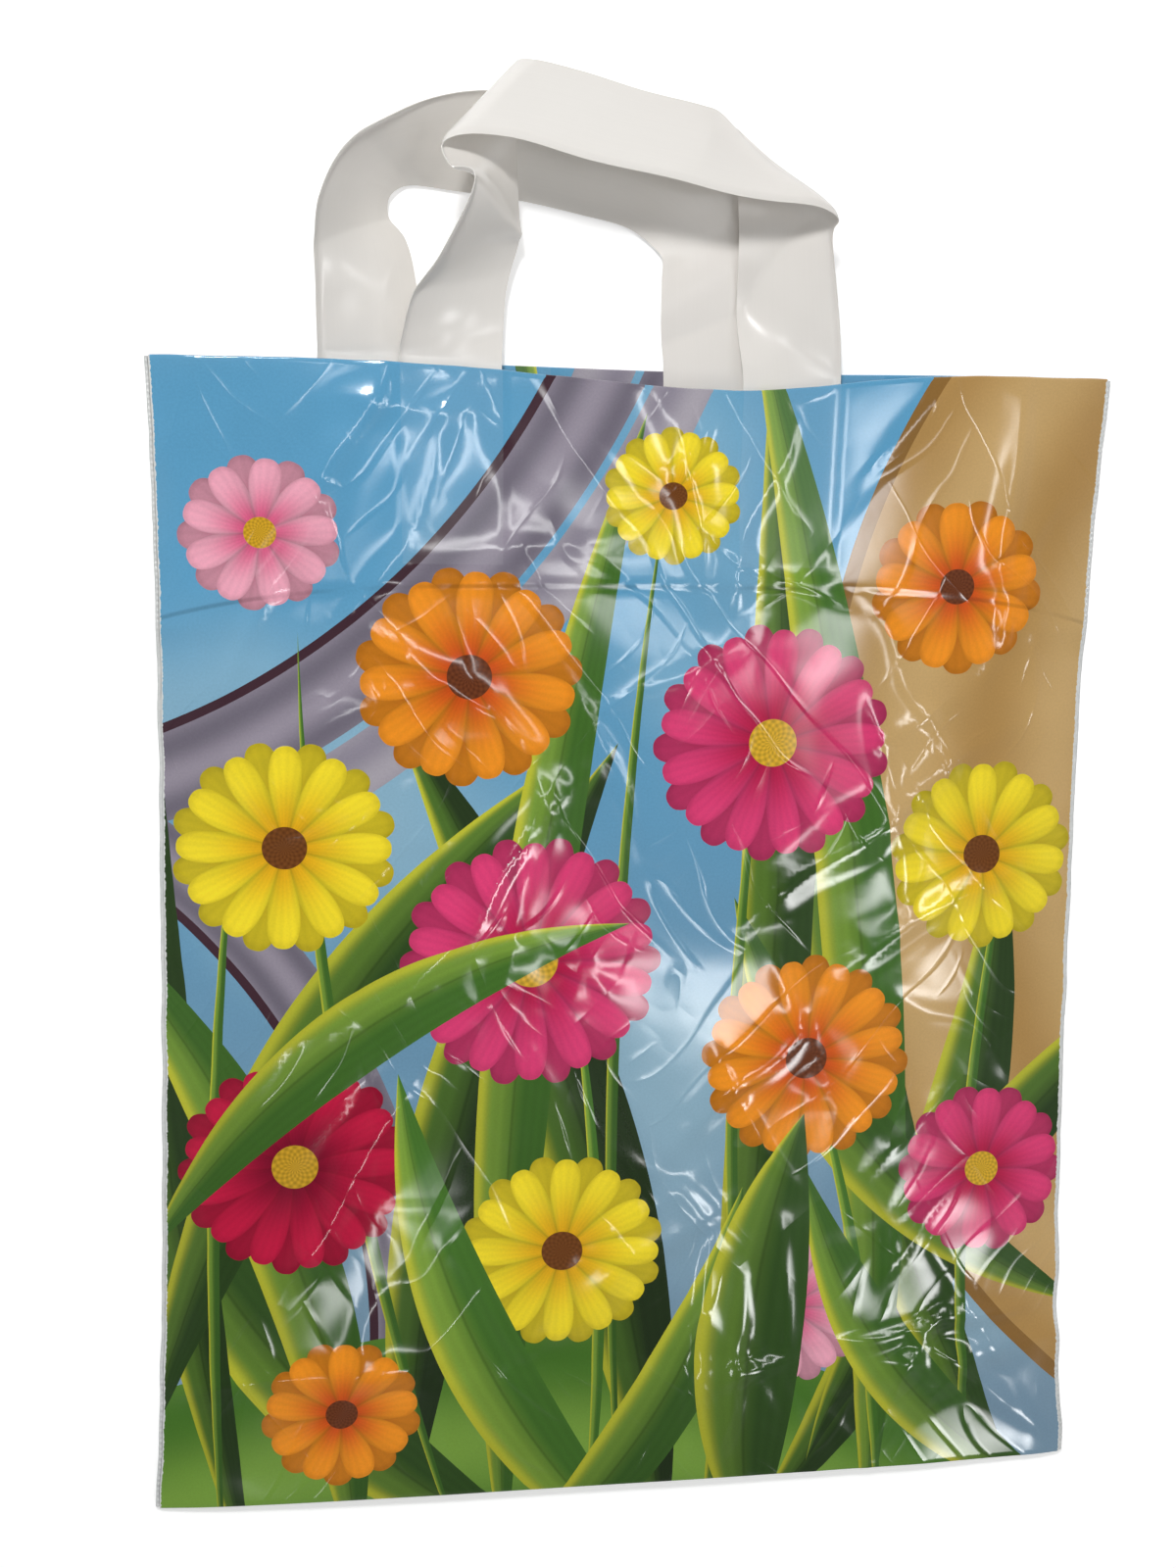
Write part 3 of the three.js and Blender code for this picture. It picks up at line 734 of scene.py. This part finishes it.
# The print's tone wavers a little. It is paler over the handles' white ends, and darker in a thin line
# along the hem's inner edge. It stops short of the bag's sides in a ragged line.
tone = n.math("MULTIPLY_ADD", n.noise(place, 14.0, 3.0, 0.6), 0.26, 0.85)
tone = n.math("MULTIPLY_ADD", n.math("SUBTRACT", n.noise(place, 1100.0, 1.0), 0.5), 0.16, tone)
from_middle = n.math("POWER", n.math("ABSOLUTE", n.math("DIVIDE", across, half_width)), 4.0)
past_hem = n.math("ADD", n.math("MULTIPLY", from_middle, hem_bow), up)
past_hem = n.gap(past_hem, mouth_y - hem_depth + hem_bow)
broken = n.ramp(n.noise(place, 25.0), 0.4, 0.6)
hem_line = n.math("MULTIPLY", n.ramp(past_hem, 0.2 * MM, 1.3 * MM, 1.0, 0.0), broken)
tone = n.math("MULTIPLY_ADD", hem_line, -0.28, tone)
paint = n.darken(paint, tone)
for end_x in handle_ends_x:
    beside = n.math("COMPARE", across, end_x, handle_width / 2)
    above = n.math("GREATER_THAN", up, mouth_y - welded_length)
    paint = n.blend(n.math("MULTIPLY", n.math("MULTIPLY", beside, above), 0.05), paint, ink(232, 236, 238))
ragged = n.math("MULTIPLY_ADD", n.noise(place, 700.0, 1.0), 1.2 * MM, n.math("ABSOLUTE", across))
unprinted = n.math("GREATER_THAN", ragged, half_width - 1.5 * MM)
paint = n.blend(unprinted, paint, ink(226, 228, 226))
n.link(paint, shader.inputs["Base Color"])
shader.inputs["Roughness"].default_value = 0.1
shader.inputs["Specular IOR Level"].default_value = 0.8
add_crinkle(n, shader, place, 50.0, 0.07, 0.13)

white_film, n, shader = new_material("white_film")
place = n.make("ShaderNodeTexCoord").outputs["Object"]
n.link(n.blend(n.noise(place, 30.0), ink(222, 222, 220), ink(236, 235, 232)), shader.inputs["Base Color"])
shader.inputs["Roughness"].default_value = 0.25
add_crinkle(n, shader, place, 60.0, 0.2, 0.1)

bag_film.data.materials.append(printed_film)
bag_film.data.materials.append(white_film)
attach(bag_film, "root")
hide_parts("bag_body")

# The side welds.
# The real bag is cut and sealed down both sides by a hot bar, which melts every layer together into a
# thin, flat, finely crimped seam of unprinted film.
bar_width = 1.5 * MM
crimp_pitch = 2.2 * MM
crimp_depth = 0.16
ring_radius = 0.5 * MM
weld_shortfall = 0.5 * MM


class Tree:
    """Writes a tree of geometry nodes with named inputs: each call makes one node and gives its outputs."""

    def __init__(self, name, inputs):
        self.tree = bpy.data.node_groups.new(name, "GeometryNodeTree")
        self.sockets = {}
        for label, kind in inputs:
            socket = self.tree.interface.new_socket(label, in_out="INPUT", socket_type="NodeSocket" + kind)
            self.sockets[label] = socket.identifier
        self.tree.interface.new_socket("Geometry", in_out="OUTPUT", socket_type="NodeSocketGeometry")
        self.given = self.tree.nodes.new("NodeGroupInput").outputs

    def make(self, kind, values=(), **settings):
        node = self.tree.nodes.new(kind)
        for name, value in settings.items():
            setattr(node, name, value)
        for key, value in dict(values).items():
            if isinstance(value, bpy.types.NodeSocket):
                self.tree.links.new(value, node.inputs[key])
            else:
                node.inputs[key].default_value = value
        return node.outputs

    def math(self, operation, *values):
        return self.make("ShaderNodeMath", enumerate(values), operation=operation)[0]

    def vector(self, operation, *values):
        return self.make("ShaderNodeVectorMath", enumerate(values), operation=operation)[0]

    def scale(self, vector, share):
        return self.make("ShaderNodeVectorMath", {"Vector": vector, "Scale": share}, operation="SCALE")[0]

    def join(self, **axes):
        return self.make("ShaderNodeCombineXYZ", axes)[0]

    def noise(self, place, seed, scale, detail):
        values = {"Vector": place, "W": seed, "Scale": scale, "Detail": detail}
        return self.make("ShaderNodeTexNoise", values, noise_dimensions="4D")[0]

    def shape_of(self, label):
        """The geometry of the object that is given under a label."""
        return self.make("GeometryNodeObjectInfo", {"Object": self.given[label]})["Geometry"]

    def end(self, geometry, material):
        """Every tree ends with its instances realized and its material set."""
        geometry = self.make("GeometryNodeRealizeInstances", {"Geometry": geometry})[0]
        geometry = self.make("GeometryNodeSetMaterial", {"Geometry": geometry, "Material": material})[0]
        last = self.tree.nodes.new("NodeGroupOutput")
        self.tree.links.new(geometry, last.inputs["Geometry"])

    def grow(self, name, **values):
        """A plain mesh piece made by the tree, with its inputs set by their sockets' identifiers."""
        seed = new_piece(name + "_seed", bpy.data.meshes.new(name + "_seed"))
        modifier = seed.modifiers.new("tree", "NODES")
        modifier.node_group = self.tree
        for label, value in values.items():
            modifier[self.sockets[label.replace("_", " ").title()]] = value
        scene_now = bpy.context.evaluated_depsgraph_get()
        mesh = bpy.data.meshes.new_from_object(seed.evaluated_get(scene_now))
        bpy.data.objects.remove(seed)
        mesh.name = name
        return new_piece(name, mesh)


def new_line(name, points, apart=False, **measures):
    """A row of points that a tree reads, joined on or two by two, with its numbers for every point."""
    mesh = bpy.data.meshes.new(name)
    pairs = [(k, k + 1) for k in range(0, len(points) - 1, 2 if apart else 1)]
    mesh.from_pydata([tuple(point) for point in points], pairs, [])
    for label, numbers in measures.items():
        mesh.attributes.new(label, "FLOAT", "POINT").data.foreach_set("value", np.array(numbers, np.float32))
    return new_piece(name, mesh)


seam = Tree("crimped_seam", [("Path", "Object"), ("Width", "Float"), ("Crimp Pitch", "Float"),
                             ("Crimp Depth", "Float"), ("Seed", "Float"), ("Material", "Material")])
given = seam.given
path = seam.make("GeometryNodeMeshToCurve", {"Mesh": seam.shape_of("Path")})["Curve"]
path = seam.make("GeometryNodeResampleCurve", {"Curve": path, "Length": 0.55 * MM}, mode="LENGTH")["Curve"]
middle = seam.tree.nodes.new("GeometryNodeCaptureAttribute")
middle.capture_items.new("VECTOR", "Middle")
seam.tree.links.new(path, middle.inputs["Geometry"])
seam.tree.links.new(seam.make("GeometryNodeInputPosition")[0], middle.inputs["Middle"])
ring = seam.make("GeometryNodeCurvePrimitiveCircle", {"Resolution": 12, "Radius": ring_radius})["Curve"]
bar = seam.make("GeometryNodeCurveToMesh", {"Curve": middle.outputs["Geometry"], "Profile Curve": ring,
                                            "Fill Caps": True})["Mesh"]
on_middle = middle.outputs["Middle"]
off = seam.vector("SUBTRACT", seam.make("GeometryNodeInputPosition")[0], on_middle)
off_x, off_y, off_z = seam.make("ShaderNodeSeparateXYZ", {"Vector": off}).values()
_, along, level = seam.make("ShaderNodeSeparateXYZ", {"Vector": on_middle}).values()
uneven = seam.noise(on_middle, given["Seed"], 160.0, 2.0)


def squared(share):
    """Draws the round section out towards a flat bar's, in shares from -1 to 1."""
    size = seam.math("POWER", seam.math("ABSOLUTE", seam.math("DIVIDE", share, ring_radius)), 0.55)
    return seam.math("MULTIPLY", size, seam.math("SIGN", share))


turns = seam.math("DIVIDE", seam.math("MULTIPLY", along, 2 * math.pi), given["Crimp Pitch"])
wave = seam.math("SINE", turns)
crimp = seam.math("MULTIPLY_ADD", wave, given["Crimp Depth"], 1.0)
half = seam.math("MULTIPLY", given["Width"], seam.math("MULTIPLY_ADD", uneven, 0.3, 0.35))
new_x = seam.math("MULTIPLY", squared(off_x), half)
new_z = seam.math("MULTIPLY", squared(off_z), seam.math("MULTIPLY", level, crimp))
low_z = seam.math("MAXIMUM", new_z, seam.math("MULTIPLY", level, -0.98))
moved = seam.vector("ADD", on_middle, seam.join(X=new_x, Y=off_y, Z=low_z))
bar = seam.make("GeometryNodeSetPosition", {"Geometry": bar, "Position": moved})["Geometry"]
bar = seam.make("GeometryNodeSetShadeSmooth", {"Geometry": bar})["Geometry"]
seam.end(bar, given["Material"])

welded_film, n, shader = new_material("welded_film")
place = n.make("ShaderNodeTexCoord").outputs["Object"]
n.link(n.blend(n.noise(place, 220.0), ink(196, 200, 199), ink(232, 233, 231)), shader.inputs["Base Color"])
n.link(n.ramp(n.noise(place, 90.0), 0.3, 0.7, 0.18, 0.4), shader.inputs["Roughness"])

for side, name in ((-1, "left_side_weld"), (1, "right_side_weld")):
    weld_y = np.linspace(foot_y + weld_shortfall, mouth_y - weld_shortfall, 150)
    weld_x = place_across(side * (half_width - bar_width / 2) + 0 * weld_y, weld_y)
    weld_z = side_level(weld_y) / 2 + 0.1 * MM
    points = np.stack([weld_x + bag_middle.x, weld_y + bag_middle.y, weld_z], axis=1)
    path = new_line(name + "_path", points)
    weld = seam.grow(name, path=path, width=bar_width, crimp_pitch=crimp_pitch, crimp_depth=crimp_depth,
                     seed=float(side), material=welded_film)
    bpy.data.objects.remove(path)
    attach(weld, "root")
    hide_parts("bag_body")

# The two loop handles.
# Each is a strip of thicker white polyethylene film, 39 mm wide, whose ends are heat-welded inside a hem.
# The front one flops over in two slanting folds, and the back one leans over in a low arch behind it.
handle_wall = 0.35 * MM
handle_rise = 110 * MM
handle_lift = 45 * MM
back_handle_x = -40 * MM
hem_to_handle = 1.7 * MM
rows_per_station = 14
strip_columns = 40
edge_curl = 1.2 * MM
curled_share = 0.07
most_creases = 6
crest_power = 1.35
ripple_height = 0.6 * MM

# Stations from the left leg to the right: the strip's middle as shares of half the leg spacing, of the
# rise past the mouth and of the height off the floor, then the direction of its outer edge, as a turn in
# plan and a lean upwards in degrees, and how slantwise the station crosses the strip.
front_route = [
    (-0.99, 0.10, 0.22, 180, 8, 1),
    (-0.96, 0.22, 0.33, 183, 20, 1),
    (-0.86, 0.38, 0.47, 191, 33, 1),
    (-0.80, 0.51, 0.64, 143, 50, 1.05),
    (-0.86, 0.66, 0.64, 206, 42, 1.06),
    (-0.89, 0.83, 0.62, 228, 30, 1.36),
    (-0.82, 0.85, 0.72, 225, 29, 1.3),
    (-0.54, 0.84, 0.72, 222, 31, 1.24),
    (-0.11, 0.78, 0.70, 231, 33, 1.13),
    (0.27, 0.74, 0.68, 240, 34, 1.04),
    (0.51, 0.71, 0.64, 273, 34, 1),
    (0.83, 0.65, 0.60, 314, 22, 1),
    (0.87, 0.65, 0.52, 316, 16, 1.34),
    (0.87, 0.61, 0.42, 317, 14, 1.28),
    (0.91, 0.45, 0.37, 338, 12, 1),
    (0.96, 0.18, 0.23, 0, 8, 1),
]
back_route = [
    (-1.02, 0.22, 0.12, 182, 8, 1),
    (-1.06, 0.40, 0.24, 184, 26, 1),
    (-1.10, 0.51, 0.36, 174, 43, 1),
    (-1.04, 0.61, 0.41, 151, 52, 1),
    (-0.86, 0.68, 0.38, 123, 52, 1),
    (-0.58, 0.72, 0.27, 106, 34, 1),
    (-0.23, 0.73, 0.16, 94, 14, 1),
    (0.20, 0.69, 0.12, 88, 11, 1),
    (0.57, 0.64, 0.11, 74, 10, 1),
    (0.81, 0.55, 0.11, 54, 9, 1),
    (0.93, 0.47, 0.10, 32, 7, 1),
    (0.97, 0.33, 0.08, 12, 4, 1),
    (0.98, 0.16, 0.06, 2, 1, 1),
]


def leg_edges(place_x, side, sag, level):
    """The outer and inner edge points of one leg's welded end, from its cut end to past the mouth."""
    edges = []
    for past in (-welded_length, -welded_length / 2, 0, 4 * MM):
        pair = []
        for reach in (1, -1):
            x = place_x + side * (leg_spacing + reach * handle_width) / 2
            mouth = float(mouth_edge(x, sag))
            pair.append((x, mouth + past, float(level(x, mouth + min(past, 0)))))
        edges.append(pair)
    return edges


def station_edges(station, place_x):
    share_x, share_y, share_z, turn, lean, reach = station
    x, y = place_x + share_x * leg_spacing / 2, mouth_y + share_y * handle_rise
    middle = Vector((x, y, share_z * handle_lift))
    turn, lean = math.radians(turn), math.radians(lean)
    outward = Vector((math.cos(turn) * math.cos(lean), math.sin(turn) * math.cos(lean), math.sin(lean)))
    return [middle + outward * handle_width / 2 * reach, middle - outward * handle_width / 2 * reach]


def smooth_line(points, steps):
    """A centripetal spline through the points, with a number of steps between each two."""
    points = np.array([tuple(point) for point in points])
    points = np.vstack([2 * points[0] - points[1], points, 2 * points[-1] - points[-2]])
    gaps = np.maximum(np.linalg.norm(np.diff(points, axis=0), axis=1) ** 0.5, 1e-6)
    line = []
    for k in range(1, len(points) - 2):
        before, here, after = gaps[k - 1:k + 2]
        p0, p1, p2, p3 = points[k - 1:k + 3]
        leave = ((p1 - p0) / before - (p2 - p0) / (before + here) + (p2 - p1) / here) * here
        arrive = ((p2 - p1) / here - (p3 - p1) / (here + after) + (p3 - p2) / after) * here
        for step in range(steps):
            t = step / steps
            line.append(p1 + leave * t + (3 * (p2 - p1) - 2 * leave - arrive) * t ** 2
                        + (2 * (p1 - p2) + leave + arrive) * t ** 3)
    return np.array([*line, points[-2]]) + np.array(bag_middle)


strip = Tree("film_strip", [("Outer Edge", "Object"), ("Inner Edge", "Object"), ("Creases", "Object"),
                            ("Rows", "Int"), ("Columns", "Int"), ("Wall", "Float"), ("Width", "Float"),
                            ("Edge Curl", "Float"), ("Seed", "Float"), ("Material", "Material")])
given = strip.given
outer, inner, creases = [strip.shape_of(label) for label in ("Outer Edge", "Inner Edge", "Creases")]


def stored(label, kind="FLOAT"):
    """The values that a line or the strip carries under a label."""
    return strip.make("GeometryNodeInputNamedAttribute", {"Name": label}, data_type=kind)["Attribute"]


def sampled(geometry, value, index, kind="FLOAT"):
    """A value as one point of another geometry has it."""
    values = {"Geometry": geometry, "Value": value, "Index": index}
    return strip.make("GeometryNodeSampleIndex", values, data_type=kind)[0]


# The sheet has a row of points for each point of its two edges, spread from the outer to the inner edge.
# Each point keeps its place on the flat strip as "flat".
sheet = {"Vertices X": given["Rows"], "Vertices Y": given["Columns"]}
sheet = strip.make("GeometryNodeMeshGrid", sheet)["Mesh"]
index = strip.make("GeometryNodeInputIndex")[0]
row = strip.math("FLOOR", strip.math("DIVIDE", strip.math("ADD", index, 0.5), given["Columns"]))
column = strip.math("SUBTRACT", index, strip.math("MULTIPLY", row, given["Columns"]))
share = strip.math("DIVIDE", column, strip.math("SUBTRACT", given["Columns"], 1.0))
here = strip.make("GeometryNodeInputPosition")[0]
edges = [sampled(edge, here, row, "FLOAT_VECTOR") for edge in (outer, inner)]
along = sampled(outer, stored("length"), row)
from_outer = strip.scale(strip.vector("SUBTRACT", edges[1], edges[0]), share)
crossed = strip.vector("ADD", edges[0], from_outer)
sheet = strip.make("GeometryNodeSetPosition", {"Geometry": sheet, "Position": crossed})["Geometry"]
flat = strip.join(X=strip.math("MULTIPLY", share, given["Width"]), Y=along)
sheet = strip.make("GeometryNodeStoreNamedAttribute", {"Geometry": sheet, "Name": "flat", "Value": flat},
                   data_type="FLOAT_VECTOR", domain="POINT")["Geometry"]
flat = stored("flat", "FLOAT_VECTOR")
# Each crease lifts the film like a ridge tent, whose crest runs from the crease's start to its end.
rise = 0.0
for k in range(most_creases):
    start, end = [sampled(creases, here, 2 * k + last, "FLOAT_VECTOR") for last in (0, 1)]
    labels = ("rise", "reach", "blunt")
    crease_rise, reach, blunt = [sampled(creases, stored(label), 2 * k) for label in labels]
    run, off = strip.vector("SUBTRACT", end, start), strip.vector("SUBTRACT", flat, start)
    dots = [strip.make("ShaderNodeVectorMath", {0: way, 1: run}, operation="DOT_PRODUCT")["Value"]
            for way in (off, run)]
    along_run = strip.math("MINIMUM", strip.math("MAXIMUM", strip.math("DIVIDE", *dots), 0.0), 1.0)
    away = strip.vector("SUBTRACT", off, strip.scale(run, along_run))
    away = strip.vector("ADD", away, strip.join(Z=blunt))
    away = strip.make("ShaderNodeVectorMath", {0: away}, operation="LENGTH")["Value"]
    slope = strip.math("MAXIMUM", strip.math("SUBTRACT", 1.0, strip.math("DIVIDE", away, reach)), 0.0)
    rise = strip.math("MULTIPLY_ADD", strip.math("POWER", slope, crest_power), crease_rise, rise)
# The film ripples a little, its outer edge curls under, and it grows its wall to both sides.
ripple = strip.math("SUBTRACT", strip.noise(flat, given["Seed"], 20.0, 0.0), 0.5)
rise = strip.math("MULTIPLY_ADD", ripple, ripple_height, rise)
curl = strip.math("MAXIMUM", strip.math("SUBTRACT", 1.0, strip.math("DIVIDE", share, curled_share)), 0.0)
curl = strip.math("MULTIPLY", strip.math("MULTIPLY", curl, curl), given["Edge Curl"])
rise = strip.math("SUBTRACT", rise, curl)
rise = strip.math("SUBTRACT", rise, strip.math("MULTIPLY", given["Wall"], 0.5))
raised = strip.scale(strip.make("GeometryNodeInputNormal")[0], rise)
sheet = strip.make("GeometryNodeSetPosition", {"Geometry": sheet, "Offset": raised})["Geometry"]
under = strip.make("GeometryNodeFlipFaces", {"Mesh": sheet})["Mesh"]
wall_up = {"Mesh": sheet, "Offset Scale": given["Wall"], "Individual": False}
upper = strip.make("GeometryNodeExtrudeMesh", wall_up, mode="FACES")["Mesh"]
joined = strip.tree.nodes.new("GeometryNodeJoinGeometry")
strip.tree.links.new(under, joined.inputs[0])
strip.tree.links.new(upper, joined.inputs[0])
film = {"Geometry": joined.outputs[0], "Distance": 0.01 * MM}
film = strip.make("GeometryNodeMergeByDistance", film)["Geometry"]
film = strip.make("GeometryNodeSetShadeSmooth", {"Geometry": film}, domain="FACE")["Geometry"]
bent = strip.make("GeometryNodeInputMeshEdgeAngle")["Unsigned Angle"]
film = strip.make("GeometryNodeSetShadeSmooth", {
    "Geometry": film, "Selection": strip.math("GREATER_THAN", bent, sharp_edge), "Shade Smooth": False},
    domain="EDGE")["Geometry"]
strip.end(film, given["Material"])

handle_film, n, shader = new_material("handle_film")
flat = n.make("ShaderNodeAttribute", attribute_name="flat").outputs["Vector"]
tone = n.blend(n.noise(flat, 7.0, 1.0), ink(237, 230, 224), ink(240, 239, 234))
across_strip, _, _ = n.split(flat)
drawn = n.noise(n.join(n.math("MULTIPLY", across_strip, 900.0), 0.0, 0.0), 1.0, 2.0)
tone = n.blend(n.math("MULTIPLY", drawn, 0.12), tone, ink(206, 203, 198))
n.link(tone, shader.inputs["Base Color"])
shader.inputs["Roughness"].default_value = 0.2
shader.inputs["Specular IOR Level"].default_value = 0.65
add_crinkle(n, shader, flat, 24.0, 0.02, 0.012)


def under_front_hem(x, y):
    return smooth_level(x, y) - hem_to_handle


def on_back_hem(x, y):
    return back_level + hem_to_handle


# Creases on each flat strip: where each starts and ends, in millimetres from its outer edge and from its
# left end, then its rise on the film's first side, which faces down in the legs and up in the front
# handle's bar, how far its slopes reach to each side and how blunt its crest is.
front_creases = [
    ((15, 147), (38, 139), -2.3, 19, 0.5),
    ((5, 306), (36, 352), 4.4, 22, 0.5),
    ((38, 352), (2, 381), 1.9, 16, 4.5),
    ((0, 104), (38, 112), 1.5, 20, 2.0),
    ((4, 177), (36, 178), 0.7, 11, 1.0),
    ((8, 262), (30, 268), 0.4, 10, 1.0),
]
back_creases = [
    ((0, 118), (38, 132), 1.9, 17, 0.5),
    ((0, 154), (38, 158), 0.9, 11, 1.0),
    ((4, 292), (30, 296), 0.6, 12, 1.0),
    ((38, 333), (4, 320), 2.4, 18, 0.5),
]
handles = [
    ("front_handle", front_handle_x, front_route, mouth_sag, under_front_hem, front_creases, 1.0),
    ("back_handle", back_handle_x, back_route, back_mouth_sag, on_back_hem, back_creases, 2.0),
]
for node, place_x, route, sag, level, creases, seed in handles:
    name = node + "_strip"
    stations = leg_edges(place_x, -1, sag, level)
    stations += [station_edges(station, place_x) for station in route]
    stations += reversed(leg_edges(place_x, 1, sag, level))
    sides = [smooth_line([pair[side] for pair in stations], rows_per_station) for side in (0, 1)]
    steps = np.linalg.norm(np.diff((sides[0] + sides[1]) / 2, axis=0), axis=1)
    length = np.concatenate([[0], np.cumsum(steps)])
    lines = [new_line(name + "_edge", side, length=length) for side in sides]
    ends = [(*end, 0) for crease in creases for end in crease[:2]]
    rise, reach, blunt = np.repeat(np.array([crease[2:] for crease in creases]) * MM, 2, axis=0).T
    ends = np.array(ends) * MM
    lines.append(new_line(name + "_creases", ends, apart=True, rise=rise, reach=reach, blunt=blunt))
    handle = strip.grow(name, outer_edge=lines[0], inner_edge=lines[1], creases=lines[2], rows=len(length),
                        columns=strip_columns, wall=handle_wall, width=handle_width, edge_curl=edge_curl,
                        seed=seed, material=handle_film)
    for line in lines:
        bpy.data.objects.remove(line)
    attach(handle, "root")
    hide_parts(node)

# The floor and the lamps.
# A plain white floor that keeps the bag's shadow, one larger key lamp past the handles, and small soft
# lamps overhead, set where the creases of the glossy film mirror them in streaks.
floor_reach = 6.0
floor_level = -0.4 * MM
floor_glow = 0.42
floor_mesh = bpy.data.meshes.new("floor")
signs = ((-1, -1), (1, -1), (1, 1), (-1, 1))
corners = [(x * floor_reach, y * floor_reach, floor_level) for x, y in signs]
floor_mesh.from_pydata(corners, [], [(0, 1, 2, 3)])
floor = new_piece("floor", floor_mesh)
floor_paint, n, shader = new_material("floor_paint")
shader.inputs["Base Color"].default_value = (0.86, 0.86, 0.86, 1)
shader.inputs["Roughness"].default_value = 0.9
shader.inputs["Emission Color"].default_value = (1, 1, 1, 1)
seen = n.make("ShaderNodeLightPath").outputs
direct = n.math("MAXIMUM", n.math("MAXIMUM", seen["Is Camera Ray"], seen["Is Glossy Ray"]),
                seen["Is Transmission Ray"])
n.link(n.math("MULTIPLY", direct, floor_glow), shader.inputs["Emission Strength"])
floor.data.materials.append(floor_paint)

world = bpy.data.worlds.new("room")
bpy.context.scene.world = world
world.use_nodes = True
n = Nodes(world.node_tree)
backdrop = world.node_tree.nodes["Background"]
seen = n.make("ShaderNodeLightPath").outputs
toward = n.make("ShaderNodeTexCoord").outputs["Generated"]
_, _, height = n.split(toward)
patches = n.ramp(n.noise(toward, 4.0, 1.0), 0.35, 0.65, 0.4, 1.5)
walls = n.math("MULTIPLY", n.math("SUBTRACT", 1.0, height), patches)
room_light = n.math("MULTIPLY_ADD", walls, 0.56, 0.05)
n.link(n.math("MAXIMUM", seen["Is Camera Ray"], room_light), backdrop.inputs["Strength"])
backdrop.inputs["Color"].default_value = (1, 1, 1, 1)


def add_lamp(name, place, aim, width, length, turn, power):
    """A soft panel that shines on the place that it is aimed at, and fades towards its own edges."""
    data = bpy.data.lights.new(name, "AREA")
    data.shape = "RECTANGLE"
    data.size = width
    data.size_y = length
    data.energy = power
    data.use_nodes = True
    n = Nodes(data.node_tree)
    u, v, _ = n.split(n.make("ShaderNodeNewGeometry").outputs["Parametric"])
    fade = middle_brightness
    for share in (u, v):
        fade = n.math("MULTIPLY", fade, n.math("MULTIPLY", share, n.math("MULTIPLY_ADD", share, -4.0, 4.0)))
    n.link(fade, data.node_tree.nodes["Emission"].inputs["Strength"])
    lamp = bpy.data.objects.new(name, data)
    bpy.context.scene.collection.objects.link(lamp)
    facing = (Vector(place) - Vector(aim)).to_track_quat("Z", "Y").to_matrix().to_4x4()
    lamp.matrix_world = Matrix.Translation(place) @ facing @ Matrix.Rotation(math.radians(turn), 4, "Z")


# Each lamp is: place over the floor, width, length, turn in degrees and power in watts.
middle_brightness = 1.8
ceiling = 1.2
lamps = [
    ("upper_left_lamp", -0.11, 0.23, 0.10, 0.45, -31, 0.55),
    ("overhead_lamp", 0.05, 0.16, 0.05, 0.80, 56, 0.75),
    ("right_lamp", 0.64, -0.28, 0.08, 0.42, 56, 0.75),
    ("upper_right_lamp", 0.50, 0.06, 0.10, 0.42, -20, 0.7),
    ("middle_lamp", 0.30, -0.36, 0.055, 0.42, 60, 0.48),
    ("low_right_lamp", 0.78, -0.76, 0.28, 0.36, 20, 2.2),
    ("low_left_lamp", -0.12, -0.62, 0.055, 0.42, -35, 0.48),
]
for name, x, y, width, length, turn, power in lamps:
    add_lamp(name, (x, y, ceiling), (x, y, 0), width, length, turn, power)
add_lamp("key_lamp", (-0.38, 0.78, 1.25), (0, 0, 0), 0.24, 0.24, 0, 15.3)
